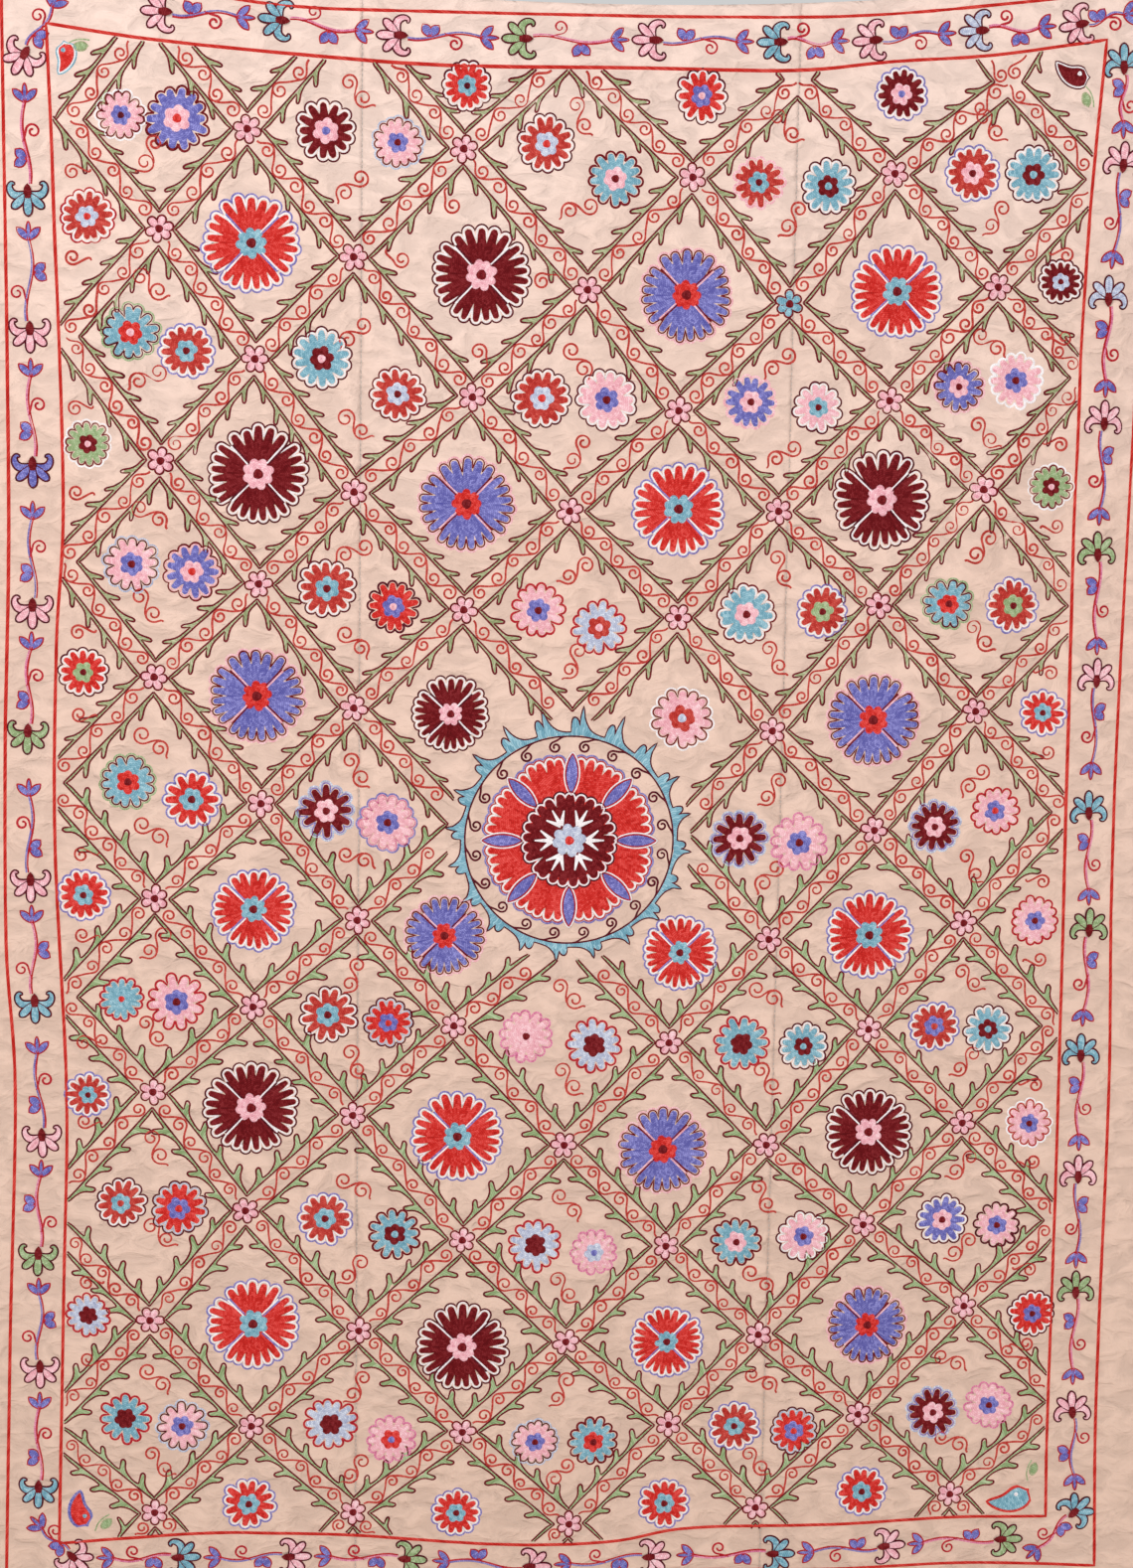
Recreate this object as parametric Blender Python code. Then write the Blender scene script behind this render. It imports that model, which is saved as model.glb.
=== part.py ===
"""A suzani: an embroidered cotton hanging of three panels, sewn edge to edge and hung by its top corners.

Units are metres. The origin is the middle of the top edge, where the hanging is held up.
x runs to the viewer's right, y away from the viewer, and z up. The worked face looks towards -y.
The cloth is nearly flat, so its shape is told by two things: how far it reaches (its four edges,
as curves in the x-z plane) and how far each point of it stands out (its folds, as a depth along y).
"""

import math
from collections import namedtuple

import bmesh
import bpy

# Driving dimensions
HALF_WIDTH = 0.88  # half the width, at the top corners
DROP = 2.28  # from the middle of the top edge down to the hem
THICKNESS = 0.0016  # ground cotton with its stitching
LEFT_SEAM_X = -0.295
RIGHT_SEAM_X = 0.297
SEAM_GAP = 0.0003  # between two neighbouring panels

# How the cloth hangs
TOP_SAG = 0.075  # the middle of the top edge hangs this far below its corners
HEM_RISE = 0.006  # the hem's corners are this much higher than its middle
WAIST = 0.010  # each side edge is drawn in by this much at mid height
SEAM_LEAN = -0.008  # the seams' feet lie this far to the left of their heads
BILLOW = 0.010  # the middle of the hanging stands this far out from its edges
HEM_FLUTE = 0.007  # height of the long soft waves at the hem
HEM_FLUTE_PITCH = 0.46  # from one such wave to the next
HEM_FLUTE_PHASE = 0.9  # radians

# Mesh resolution
PANEL_COLUMNS = 14
PANEL_ROWS = 54

# Soft folds. Each is a ridge from its head to its foot, and stands out most halfway along.
Fold = namedtuple("Fold", "name head_x head_z foot_x foot_z half_width rise")
FOLDS = [
    Fold("top swag", -0.62, -0.080, 0.58, -0.085, 0.036, 0.010),
    Fold("right corner, first", 0.70, -0.10, 0.22, -1.06, 0.030, 0.010),
    Fold("right corner, second", 0.72, -0.18, 0.33, -1.02, 0.026, 0.009),
    Fold("right corner, third", 0.79, -0.10, 0.38, -1.22, 0.030, 0.014),
    Fold("right corner, fourth", 0.81, -0.22, 0.48, -1.18, 0.026, 0.009),
    Fold("right border", 0.76, -0.02, 0.70, -1.42, 0.028, 0.010),
    Fold("left corner", -0.80, -0.06, -0.42, -1.02, 0.036, 0.010),
    Fold("left border", -0.80, -0.10, -0.76, -1.30, 0.034, 0.008),
    Fold("below the right folds", 0.58, -0.90, 0.50, -1.66, 0.040, 0.006),
    Fold("low right", 0.70, -1.30, 0.64, -2.34, 0.050, 0.009),
    Fold("low left", -0.66, -1.30, -0.62, -2.20, 0.050, 0.006),
]

COTTON = (0.87, 0.76, 0.70)
COTTON_ROUGHNESS = 0.9


def clear_scene():
    for old in list(bpy.data.objects):
        bpy.data.objects.remove(old)


def top_edge_z(x):
    return TOP_SAG * (x / HALF_WIDTH) ** 2


def hem_z(x):
    return -DROP + HEM_RISE * (x / HALF_WIDTH) ** 2


def side_edge_x(side, share_down):
    """x of the left (side -1) or right (side 1) edge."""
    return side * (HALF_WIDTH - WAIST * math.sin(math.pi * share_down))


def seam_x(head_x, share_down):
    return head_x + SEAM_LEAN * share_down


def fold_rise(fold, x, z):
    """How far one fold lifts the cloth at a point."""
    run_x, run_z = fold.foot_x - fold.head_x, fold.foot_z - fold.head_z
    length = math.hypot(run_x, run_z)
    along = ((x - fold.head_x) * run_x + (z - fold.head_z) * run_z) / length**2
    across = ((x - fold.head_x) * run_z - (z - fold.head_z) * run_x) / length
    if not 0 < along < 1:
        return 0.0
    return fold.rise * math.sin(math.pi * along) ** 2 * math.exp(-((across / fold.half_width) ** 2))


def depth(x, z):
    """y of the worked face. Every part of the sum stands out towards the viewer, which is -y."""
    down = min(max(-z / DROP, 0.0), 1.0)
    inside = math.cos(math.pi * x / (2 * HALF_WIDTH))
    billow = BILLOW * math.sin(math.pi * down) * inside
    flute = HEM_FLUTE * down**3 * (1 + math.cos(math.tau * x / HEM_FLUTE_PITCH + HEM_FLUTE_PHASE))
    return -(billow + flute + sum(fold_rise(fold, x, z) for fold in FOLDS))


def cotton(name):
    material = bpy.data.materials.new(name)
    material.use_nodes = True
    shader = material.node_tree.nodes["Principled BSDF"]
    shader.inputs["Base Color"].default_value = (*COTTON, 1)
    shader.inputs["Roughness"].default_value = COTTON_ROUGHNESS
    shader.inputs["Metallic"].default_value = 0
    return material


def make_panel(name, left_x, right_x):
    """One panel. left_x and right_x give its long edges, from the share of the way down."""
    bm = bmesh.new()
    bmesh.ops.create_grid(bm, x_segments=PANEL_COLUMNS, y_segments=PANEL_ROWS, size=0.5)
    for vert in bm.verts:
        across, down = vert.co.x + 0.5, 0.5 - vert.co.y
        x = left_x(down) + (right_x(down) - left_x(down)) * across
        z = top_edge_z(x) + (hem_z(x) - top_edge_z(x)) * down
        vert.co = (x, depth(x, z), z)
    front = bmesh.ops.extrude_face_region(bm, geom=bm.faces[:])
    back = [item for item in front["geom"] if isinstance(item, bmesh.types.BMVert)]
    bmesh.ops.translate(bm, verts=back, vec=(0, THICKNESS, 0))
    bmesh.ops.recalc_face_normals(bm, faces=bm.faces[:])
    mesh = bpy.data.meshes.new(name)
    bm.to_mesh(mesh)
    bm.free()
    mesh.shade_smooth()
    mesh.set_sharp_from_angle(angle=math.radians(50))
    mesh.materials.append(cotton(name + "_cotton"))
    panel = bpy.data.objects.new(name, mesh)
    bpy.context.scene.collection.objects.link(panel)
    return panel


def make_hanging():
    half_gap = SEAM_GAP / 2
    make_panel(
        "panel_left",
        lambda down: side_edge_x(-1, down),
        lambda down: seam_x(LEFT_SEAM_X, down) - half_gap,
    )
    make_panel(
        "panel_middle",
        lambda down: seam_x(LEFT_SEAM_X, down) + half_gap,
        lambda down: seam_x(RIGHT_SEAM_X, down) - half_gap,
    )
    make_panel(
        "panel_right",
        lambda down: seam_x(RIGHT_SEAM_X, down) + half_gap,
        lambda down: side_edge_x(1, down),
    )


clear_scene()
make_hanging()
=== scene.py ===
# %% [markdown]
# # A suzani, worked thread by thread
#
# A suzani is a cotton hanging that is embroidered all over in chain stitch. This one is three lengths of
# plain cotton sewn edge to edge, with a trellis of barbed stems, a rosette or a pair of rosettes in each
# opening, a medallion in the middle and a border round all of it. It hangs by its top edge.
#
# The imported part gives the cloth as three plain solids. This lesson lays finer cloth on them, and then lays
# every row of stitches on the cloth as a small raised ribbon.

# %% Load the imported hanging
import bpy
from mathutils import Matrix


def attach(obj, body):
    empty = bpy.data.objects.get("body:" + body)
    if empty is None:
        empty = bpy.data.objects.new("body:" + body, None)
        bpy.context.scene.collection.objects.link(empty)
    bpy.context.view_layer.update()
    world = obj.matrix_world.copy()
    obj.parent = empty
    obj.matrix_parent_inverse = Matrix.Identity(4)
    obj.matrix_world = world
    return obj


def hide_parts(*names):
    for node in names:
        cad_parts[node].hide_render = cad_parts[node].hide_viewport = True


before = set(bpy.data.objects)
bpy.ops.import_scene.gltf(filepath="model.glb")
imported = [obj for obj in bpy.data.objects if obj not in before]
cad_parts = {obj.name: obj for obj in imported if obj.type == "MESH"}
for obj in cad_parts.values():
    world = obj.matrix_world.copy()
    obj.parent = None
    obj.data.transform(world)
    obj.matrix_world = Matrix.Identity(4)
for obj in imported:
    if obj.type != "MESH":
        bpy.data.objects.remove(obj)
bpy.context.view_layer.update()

# %% Tools
import math
from collections import namedtuple

import bmesh
import bpy
import numpy as np
from mathutils import Quaternion, Vector

MM = 0.001
hand = np.random.default_rng(41)  # the unevenness of work done by hand, the same on every run


def new_object(name, data):
    thing = bpy.data.objects.new(name, data)
    bpy.context.scene.collection.objects.link(thing)
    return thing


print("a seed of 41, and lengths in metres, so a millimetre is", MM)

# %% [markdown]
# ## The camera
#
# The picture was taken a little from the left and above, close to square on. The four corners of the inner
# red frame give the place: a rectangle seen at a slant has only one camera place that fits its corners.

# %% The camera
CAMERA_PLACE = Vector((-0.265, -3.238, -0.654))
CAMERA_AIM = Vector((-0.009, 0.0, -1.059))
CAMERA_ROLL = math.radians(0.71)
LENS_MM = 53.6
SENSOR_MM = 36.0

camera_data = bpy.data.cameras.new("camera")
camera_data.sensor_fit = "VERTICAL"
camera_data.sensor_height = SENSOR_MM
camera_data.lens = LENS_MM
camera = new_object("camera", camera_data)
camera.location = CAMERA_PLACE
camera.rotation_mode = "QUATERNION"
facing = (CAMERA_AIM - CAMERA_PLACE).to_track_quat("-Z", "Y")
camera.rotation_quaternion = facing @ Quaternion((0, 0, 1), CAMERA_ROLL)
bpy.context.scene.camera = camera
print("camera is", round((CAMERA_AIM - CAMERA_PLACE).length, 2), "m from the cloth")

# %% [markdown]
# ## How the cloth hangs
#
# The cloth is nearly flat, so its shape is told by two things: where its edges run, and how far each point
# stands out towards the viewer. The same soft folds are in the solids. Here they work on whole arrays of
# points, because the rows of stitches need the depth at many thousands of places, and narrower creases are
# added, which the plain solids leave out.

# %% The cloth's measures, in metres, as in the solids
HALF_WIDTH = 0.88
DROP = 2.28
SEAM_X = {"left": -0.295, "right": 0.297}  # at the top edge
SEAM_LEAN = -0.008  # the seams' feet lie this far to the left of their heads
TOP_SAG = 0.075  # the middle of the top edge hangs this far below its corners
HEM_RISE = 0.006
WAIST = 0.010  # each side edge is drawn in by this much at mid height
BILLOW = 0.010  # the middle of the hanging stands this far out from its edges
HEM_FLUTE = 0.007  # height of the long soft waves at the hem
HEM_FLUTE_PITCH = 0.46
HEM_FLUTE_PHASE = 0.9  # radians
print("the cloth is", 2 * HALF_WIDTH, "m wide and hangs down", DROP, "m")

# %% Folds and creases
Fold = namedtuple("Fold", "name head_x head_z foot_x foot_z half_width rise")
FOLDS = [
    Fold("top swag", -0.62, -0.080, 0.58, -0.085, 0.036, 0.010),
    Fold("right corner, first", 0.70, -0.10, 0.22, -1.06, 0.030, 0.010),
    Fold("right corner, second", 0.72, -0.18, 0.33, -1.02, 0.026, 0.009),
    Fold("right corner, third", 0.79, -0.10, 0.38, -1.22, 0.030, 0.014),
    Fold("right corner, fourth", 0.81, -0.22, 0.48, -1.18, 0.026, 0.009),
    Fold("right border", 0.76, -0.02, 0.70, -1.42, 0.028, 0.010),
    Fold("left corner", -0.80, -0.06, -0.42, -1.02, 0.036, 0.010),
    Fold("left border", -0.80, -0.10, -0.76, -1.30, 0.034, 0.008),
    Fold("below the right folds", 0.58, -0.90, 0.50, -1.66, 0.040, 0.006),
    Fold("low right", 0.70, -1.30, 0.64, -2.34, 0.050, 0.009),
    Fold("low left", -0.66, -1.30, -0.62, -2.20, 0.050, 0.006),
]
CREASES = [
    Fold("under the top edge, left", -0.70, -0.020, -0.10, -0.060, 0.018, 0.002),
    Fold("under the top edge, right", 0.05, -0.050, 0.66, -0.004, 0.018, 0.002),
    Fold("left corner, upper", -0.76, -0.03, -0.30, -0.42, 0.020, 0.003),
    Fold("left corner, lower", -0.72, -0.22, -0.50, -0.78, 0.018, 0.002),
    Fold("right corner, upper", 0.74, -0.06, 0.30, -0.52, 0.020, 0.003),
    Fold("beside the left seam", -0.27, -0.12, -0.25, -0.80, 0.018, 0.002),
    Fold("beside the right seam", 0.32, -0.20, 0.33, -0.90, 0.018, 0.002),
    Fold("left, low", -0.56, -1.50, -0.50, -2.05, 0.022, 0.002),
    Fold("middle, low", 0.06, -1.62, 0.02, -2.20, 0.022, 0.002),
    Fold("right, low", 0.46, -1.55, 0.42, -2.16, 0.022, 0.002),
]
PUCKER = 0.0005  # the ground is drawn up a little between the rows of stitches, in waves of these lengths
PUCKER_ACROSS, PUCKER_DOWN = 0.021, 0.026
SWERVE_ACROSS, SWERVE_DOWN = 0.039, 0.047  # the waves' own swerves
print("deepest fold:", round(1000 * max(fold.rise for fold in FOLDS)), "mm")

# %% The shape of the cloth


def top_edge_z(x):
    return TOP_SAG * (x / HALF_WIDTH) ** 2


def hem_z(x):
    return -DROP + HEM_RISE * (x / HALF_WIDTH) ** 2


def side_edge_x(side, share_down):
    return side * (HALF_WIDTH - WAIST * math.sin(math.pi * share_down))


def seam_x(head_x, share_down):
    return head_x + SEAM_LEAN * share_down


def fold_rise(fold, x, z):
    """How far one fold lifts the cloth at each point."""
    run_x, run_z = fold.foot_x - fold.head_x, fold.foot_z - fold.head_z
    length = math.hypot(run_x, run_z)
    along = ((x - fold.head_x) * run_x + (z - fold.head_z) * run_z) / length**2
    across = ((x - fold.head_x) * run_z - (z - fold.head_z) * run_x) / length
    swell = np.sin(math.pi * np.clip(along, 0, 1)) ** 2
    return fold.rise * swell * np.exp(-((across / fold.half_width) ** 2))


def depth(x, z):
    """y of the worked face. Every part of the sum stands out towards the viewer, which is -y."""
    down = np.clip(-z / DROP, 0, 1)
    billow = BILLOW * np.sin(math.pi * down) * np.cos(math.pi * x / (2 * HALF_WIDTH))
    flute = HEM_FLUTE * down**3 * (1 + np.cos(math.tau * x / HEM_FLUTE_PITCH + HEM_FLUTE_PHASE))
    wave_across = np.sin(x / PUCKER_ACROSS + 3 * np.sin(z / SWERVE_DOWN))
    wave_down = np.sin(z / PUCKER_DOWN + 2 * np.sin(x / SWERVE_ACROSS))
    pucker = PUCKER * wave_across * wave_down
    return -(billow + flute + pucker + sum(fold_rise(fold, x, z) for fold in FOLDS + CREASES))


print("the face stands out", round(-1000 * float(depth(0.5, -0.6)), 1), "mm among the right corner's folds")

# %% [markdown]
# ## Colours and a small tool for materials
#
# Every colour is written as a hex value, as a dyer's card or a paint shop gives it, and one function turns
# it into the linear numbers that the shader works with. Another adds a node, sets it and links it. Most
# nodes of a pattern only work on the first output of the one before, so a node can stand for that output.

# %% Colours and nodes


def linear(hex_colour):
    """An sRGB hex value as linear red, green, blue and an alpha of 1."""
    values = [int(hex_colour[i : i + 2], 16) / 255 for i in (1, 3, 5)]
    return (*[v / 12.92 if v <= 0.04045 else ((v + 0.055) / 1.055) ** 2.4 for v in values], 1)


def add_node(tree, kind, inputs=(), **settings):
    """Adds a node. inputs are values, outputs, or nodes for their first output, by name or in order."""
    node = tree.nodes.new("ShaderNode" + kind)
    for name, value in settings.items():
        setattr(node, name, value)
    for key, value in inputs.items() if isinstance(inputs, dict) else enumerate(inputs):
        source = value.outputs[0] if isinstance(value, bpy.types.Node) else value
        if isinstance(source, bpy.types.NodeSocket):
            tree.links.new(source, node.inputs[key])
        else:
            node.inputs[key].default_value = source
    return node


def set_stops(ramp, stops):
    """Gives a colour ramp its stops, which are pairs of a place and a hex colour."""
    elements = ramp.color_ramp.elements
    while len(elements) < len(stops):
        elements.new(0.5)
    for element, (place, colour) in zip(elements, stops):
        element.position = place
        element.color = linear(colour)


def new_material(name, roughness):
    """A matt, cloth-like material, and its tree and shader."""
    material = bpy.data.materials.new(name)
    material.use_nodes = True
    shader = material.node_tree.nodes["Principled BSDF"]
    shader.inputs["Roughness"].default_value = roughness
    shader.inputs["Specular IOR Level"].default_value = 0.08
    return material, material.node_tree, shader


print("white is", linear("#FFFFFF")[:3])

# %% [markdown]
# ## The ground: unbleached plain-weave cotton
#
# The ground is hand-woven cotton that has yellowed unevenly in soft blotches. It is pinkish cream near the
# top and tan near the hem, where a painted shade darkens it as the light falls off downwards. A plain weave
# crosses one thread over and one under, so its surface is a fine checker of bumps.
# Real threads lie about 0.6 mm apart, which is finer than a pixel of the picture, so the weave is drawn at
# 1.8 mm. Soft crinkles, pulled up by the stitches, are a second bump, and shade the cotton a little too,
# because each hollow keeps some of the light out.

# %% The cotton material
WEAVE_PITCH = 1.8 * MM  # real: 0.6 mm
WEAVE_BUMP = 0.3 * MM
CRINKLES_PER_M = 34
CRINKLE_BUMP = 10 * MM
BLOTCHES_PER_M = 3.2
CRINKLE_SHADE = {"From Min": 0.4, "From Max": 0.6, "To Min": 0.93, "To Max": 1.09}
# painted shade: these stops darken the cotton towards the hem, where the light falls off
COTTON_PAINTED_FALLOFF = [(0.0, "#DBBCAA"), (0.3, "#DEBFAE"), (0.65, "#E3C4B4"), (1.0, "#EBD1C5")]  # hem to top
PAINTED_FALLOFF_SPAN = {"From Min": -2.3, "From Max": 0.05}  # heights of the first and the last of these


def blotches_and_painted_falloff(tree, place, height):
    """The cotton's colour: a painted shade by the height, darker towards the hem where the light falls off,
    with soft blotches.
    """
    blotch = add_node(tree, "TexNoise", {"Vector": place, "Scale": BLOTCHES_PER_M, "Detail": 3.0})
    share_up = add_node(tree, "MapRange", {"Value": height, **PAINTED_FALLOFF_SPAN})
    shift = add_node(tree, "Math", (blotch, 0.5, -0.25), operation="MULTIPLY_ADD")
    blotched_falloff = add_node(tree, "ValToRGB", {"Fac": add_node(tree, "Math", (share_up, shift))})
    set_stops(blotched_falloff, COTTON_PAINTED_FALLOFF)
    return blotched_falloff


def make_cotton():
    material, tree, shader = new_material("unbleached plain-weave cotton", roughness=0.92)
    place = add_node(tree, "TexCoord").outputs["Object"]
    axes = add_node(tree, "SeparateXYZ", (place,))
    waves = []
    for axis in ("X", "Z"):  # the threads of the warp, and those of the weft
        turns = add_node(tree, "Math", (axes.outputs[axis], math.tau / WEAVE_PITCH), operation="MULTIPLY")
        waves.append(add_node(tree, "Math", (turns,), operation="SINE"))
    weave = add_node(tree, "Math", (waves[0], waves[1]), operation="MULTIPLY")
    fine = add_node(tree, "Bump", {"Strength": 0.25, "Distance": WEAVE_BUMP, "Height": weave})

    flattened = add_node(tree, "Mapping", {"Vector": place, "Scale": (0.75, 1.0, 1.25)})
    look = {"Vector": flattened, "Scale": CRINKLES_PER_M, "Detail": 5.0, "Distortion": 0.8}
    crinkle = add_node(tree, "TexNoise", look)
    shade = add_node(tree, "MapRange", {"Value": crinkle, **CRINKLE_SHADE})
    bump = {"Strength": 1.0, "Distance": CRINKLE_BUMP, "Height": crinkle, "Normal": fine}
    soft = add_node(tree, "Bump", bump)
    blotched_falloff = blotches_and_painted_falloff(tree, place, axes.outputs["Z"])
    colour = add_node(tree, "Mix", {0: 1.0, 6: blotched_falloff, 7: shade}, data_type="RGBA", blend_type="MULTIPLY")
    tree.links.new(colour.outputs[2], shader.inputs["Base Color"])
    tree.links.new(soft.outputs[0], shader.inputs["Normal"])
    return material


cotton = make_cotton()
print(cotton.name, "has", len(cotton.node_tree.nodes), "nodes")

# %% [markdown]
# ## The three panels
#
# Each panel is a grid that is pushed onto the hanging shape and then given a thickness by extruding it to
# the back. The grid has extra lines near its edges for the turned hem, which is twice as thick, and along
# the seams, where the sewing pulls both edges a little to the back.

# %% The panels' grids
CLOTH = 1.2 * MM
SEAM_GAP = 0.3 * MM
HEM_WIDTH = 11 * MM
HEM_EXTRA = 0.9 * MM
SEAM_DIP = 0.2 * MM
SEAM_DIP_WIDTH = 4 * MM
COLUMN_PITCH = 14.5 * MM
ROW_PITCH = 19 * MM
FAR = 1.0  # stands for the distance to an edge that a panel doesn't have


def stations(length, pitch, edge):
    """Shares of a length at which grid lines run: two close ones at either end, even ones between."""
    count = round((length - 2 * edge) / pitch)
    even = edge + (length - 2 * edge) * np.arange(count + 1) / count
    return np.concatenate([[0, edge * 0.5], even, [length - edge * 0.5, length]]) / length


def hang_grid(bm, left_x, right_x, hems):
    """Pushes a flat grid onto the hanging shape, and returns the vertices of its doubled hems."""
    width = right_x(0.5) - left_x(0.5)
    across_lines = stations(width, COLUMN_PITCH, HEM_WIDTH)
    down_lines = stations(DROP, ROW_PITCH, HEM_WIDTH)
    size = {"x_segments": len(across_lines) - 1, "y_segments": len(down_lines) - 1}
    bmesh.ops.create_grid(bm, **size, size=0.5)
    doubled = []
    for vert in bm.verts:
        across = across_lines[round((vert.co.x + 0.5) * size["x_segments"])]
        down = down_lines[round((0.5 - vert.co.y) * size["y_segments"])]
        x = left_x(down) + (right_x(down) - left_x(down)) * across
        z = top_edge_z(x) + (hem_z(x) - top_edge_z(x)) * down
        sides = (across * width, (1 - across) * width)
        to_hem = min([down * DROP, (1 - down) * DROP] + [far for far, hem in zip(sides, hems) if hem])
        to_seam = min([FAR] + [far for far, hem in zip(sides, hems) if not hem])
        vert.co = (x, float(depth(x, z)) + SEAM_DIP * max(0.0, 1 - to_seam / SEAM_DIP_WIDTH), z)
        if to_hem < HEM_WIDTH * 0.9:
            doubled.append(vert)
    return doubled


print("grid lines lie", COLUMN_PITCH / MM, "and", ROW_PITCH / MM, "mm apart")

# %% Make the panels


def make_panel(name, node, left_x, right_x, hems):
    """One panel. Each of its two edges is a function of the share of the way down, and may be a hem."""
    bm = bmesh.new()
    doubled = hang_grid(bm, left_x, right_x, hems)
    pairs = bmesh.ops.extrude_face_region(bm, geom=bm.faces[:])
    back = [item for item in pairs["geom"] if isinstance(item, bmesh.types.BMVert)]
    bmesh.ops.translate(bm, verts=back, vec=(0, CLOTH, 0))
    bmesh.ops.translate(bm, verts=doubled, vec=(0, -HEM_EXTRA, 0))
    bmesh.ops.recalc_face_normals(bm, faces=bm.faces[:])
    mesh = bpy.data.meshes.new(name)
    bm.to_mesh(mesh)
    bm.free()
    mesh.shade_smooth()
    mesh.materials.append(cotton)
    panel = new_object(name, mesh)
    width = right_x(0.5) - left_x(0.5)
    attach(panel, "root")
    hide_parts(node)
    print(name, round(width, 3), "m wide,", 2 * len(mesh.polygons), "triangles")


def side_edge(side):
    return lambda down: side_edge_x(side, down)


def beside_seam(seam, gap):
    return lambda down: seam_x(SEAM_X[seam], down) + gap


half_gap = SEAM_GAP / 2
make_panel("cloth_left", "panel_left", side_edge(-1), beside_seam("left", -half_gap), (True, False))
make_panel("cloth_middle", "panel_middle", beside_seam("left", half_gap), beside_seam("right", -half_gap),
           (False, False))
make_panel("cloth_right", "panel_right", beside_seam("right", half_gap), side_edge(1), (False, True))

# %% [markdown]
# ## The threads
#
# All of the work is chain stitch: each loop comes up through the one before, so a row looks like a chain of
# small V shapes, about 2 mm long. They are drawn 3 mm long, because the picture shows the chain only as a
# sparkle of light and dark. The pattern follows each row through the piece's own map, `Thread`: its first
# number is the length along the row in metres, its second counts rows from one side to the other.
#
# The dyes have faded unevenly in broad patches. Each stitch has its own tone, partly uneven dye and partly
# painted glints of the shiny floss. Longer stretches of a row are darker or paler, partly dye and partly
# painted sheen, which shows as streaks where rows lie side by side. Each stitch is painted lighter in its
# middle and darker at its
# ends: painted light on its crown and painted shade in the gaps between the stitches.

# %% The threads' colours
Thread = namedtuple("Thread", "name dark base light")
THREADS = {
    "r": Thread("scarlet cotton floss", "#98100C", "#CE2A24", "#F0605A"),
    "b": Thread("brick red cotton floss", "#841A12", "#B8342E", "#DC6458"),
    "m": Thread("madder-dyed maroon cotton floss", "#440408", "#6C0F15", "#8E3034"),
    "v": Thread("blue-violet cotton floss", "#3E3E90", "#6A68AE", "#A4A2E4"),
    "t": Thread("pale indigo cotton floss", "#45788E", "#78A8BA", "#B4D6E0"),
    "p": Thread("rose pink cotton floss", "#CC7C8E", "#EEAEB8", "#FFE0E4"),
    "l": Thread("pale lavender cotton floss", "#7E86AE", "#B6BCD2", "#E8ECF6"),
    "o": Thread("grey lavender cotton floss", "#564F90", "#7E76B4", "#A8A2DA"),
    "g": Thread("leaf green cotton floss", "#667E4C", "#96AB7C", "#C2D0AA"),
    "s": Thread("pale green cotton floss", "#747E52", "#9EA67C", "#CACCAA"),
    "d": Thread("walnut brown cotton floss", "#32060E", "#520E1A", "#762A36"),
    "D": Thread("walnut brown cotton floss, trellis", "#3C0810", "#68121C", "#8C343C"),
    "k": Thread("coral cotton floss", "#8A1E1A", "#B83A32", "#D46258"),
    "c": Thread("crimson cotton floss", "#8A101C", "#B01E2A", "#D04A4E"),
    "u": Thread("mauve cotton floss", "#AC4870", "#D87A9C", "#F0ACC2"),
    "w": Thread("white cotton floss", "#CFC4C8", "#F4ECEE", "#FFFFFF"),
    "e": Thread("grey sewing thread", "#A0948C", "#BCAEA4", "#D2C6BE"),
}
print(len(THREADS), "dyed threads")

# %% Thread materials
STITCH_LENGTH = 3.0 * MM  # real: 2 mm
STITCH_V = 0.8  # how far the arms of each V run back, in stitches
STITCH_STAGGER = 0.37  # from one row to the next, in stitches
STITCH_BUMP = 0.5 * MM
STREAKS_PER_M = 30
ROW_STRIDE = 7.3  # far enough from row to row that their streaks are unlike
FADES_PER_M = 28
# the own tone is partly dye and partly painted glint, and the streaks are partly dye and partly painted
# sheen. The swell paints light on each stitch's middle and shade in the gaps between stitches.
OWN_DYE_AND_GLINT, STREAK_DYE_AND_SHEEN, FADE_TONE, SWELL_PAINTED_SHADE = 0.3, 0.45, 0.25, 0.25  # what each adds to the tone


def stitch_pattern(tree, rows, row_number, stitch, lean):
    """The number of the stitch along its row, and its swell, from 0 at its ends to 1 in its middle."""
    in_row = add_node(tree, "Math", (rows.outputs["Y"],), operation="FRACT")
    if lean <= 1:
        from_middle = add_node(tree, "Math", (in_row, 0.5), operation="SUBTRACT")
        in_row = add_node(tree, "Math", (from_middle,), operation="ABSOLUTE")
    counted = add_node(tree, "Math", (rows.outputs["X"], stitch), operation="DIVIDE")
    slanted = add_node(tree, "Math", (in_row, lean, counted), operation="MULTIPLY_ADD")
    stitches = add_node(tree, "Math", (row_number, STITCH_STAGGER, slanted), operation="MULTIPLY_ADD")
    number = add_node(tree, "Math", (stitches,), operation="FLOOR")
    part = add_node(tree, "Math", (stitches,), operation="FRACT")
    centred = add_node(tree, "Math", (part, 0.5), operation="SUBTRACT")
    squared = add_node(tree, "Math", (centred, centred), operation="MULTIPLY")
    swell = add_node(tree, "Math", (squared, -4.0, 1.0), operation="MULTIPLY_ADD")
    return number, swell


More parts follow.
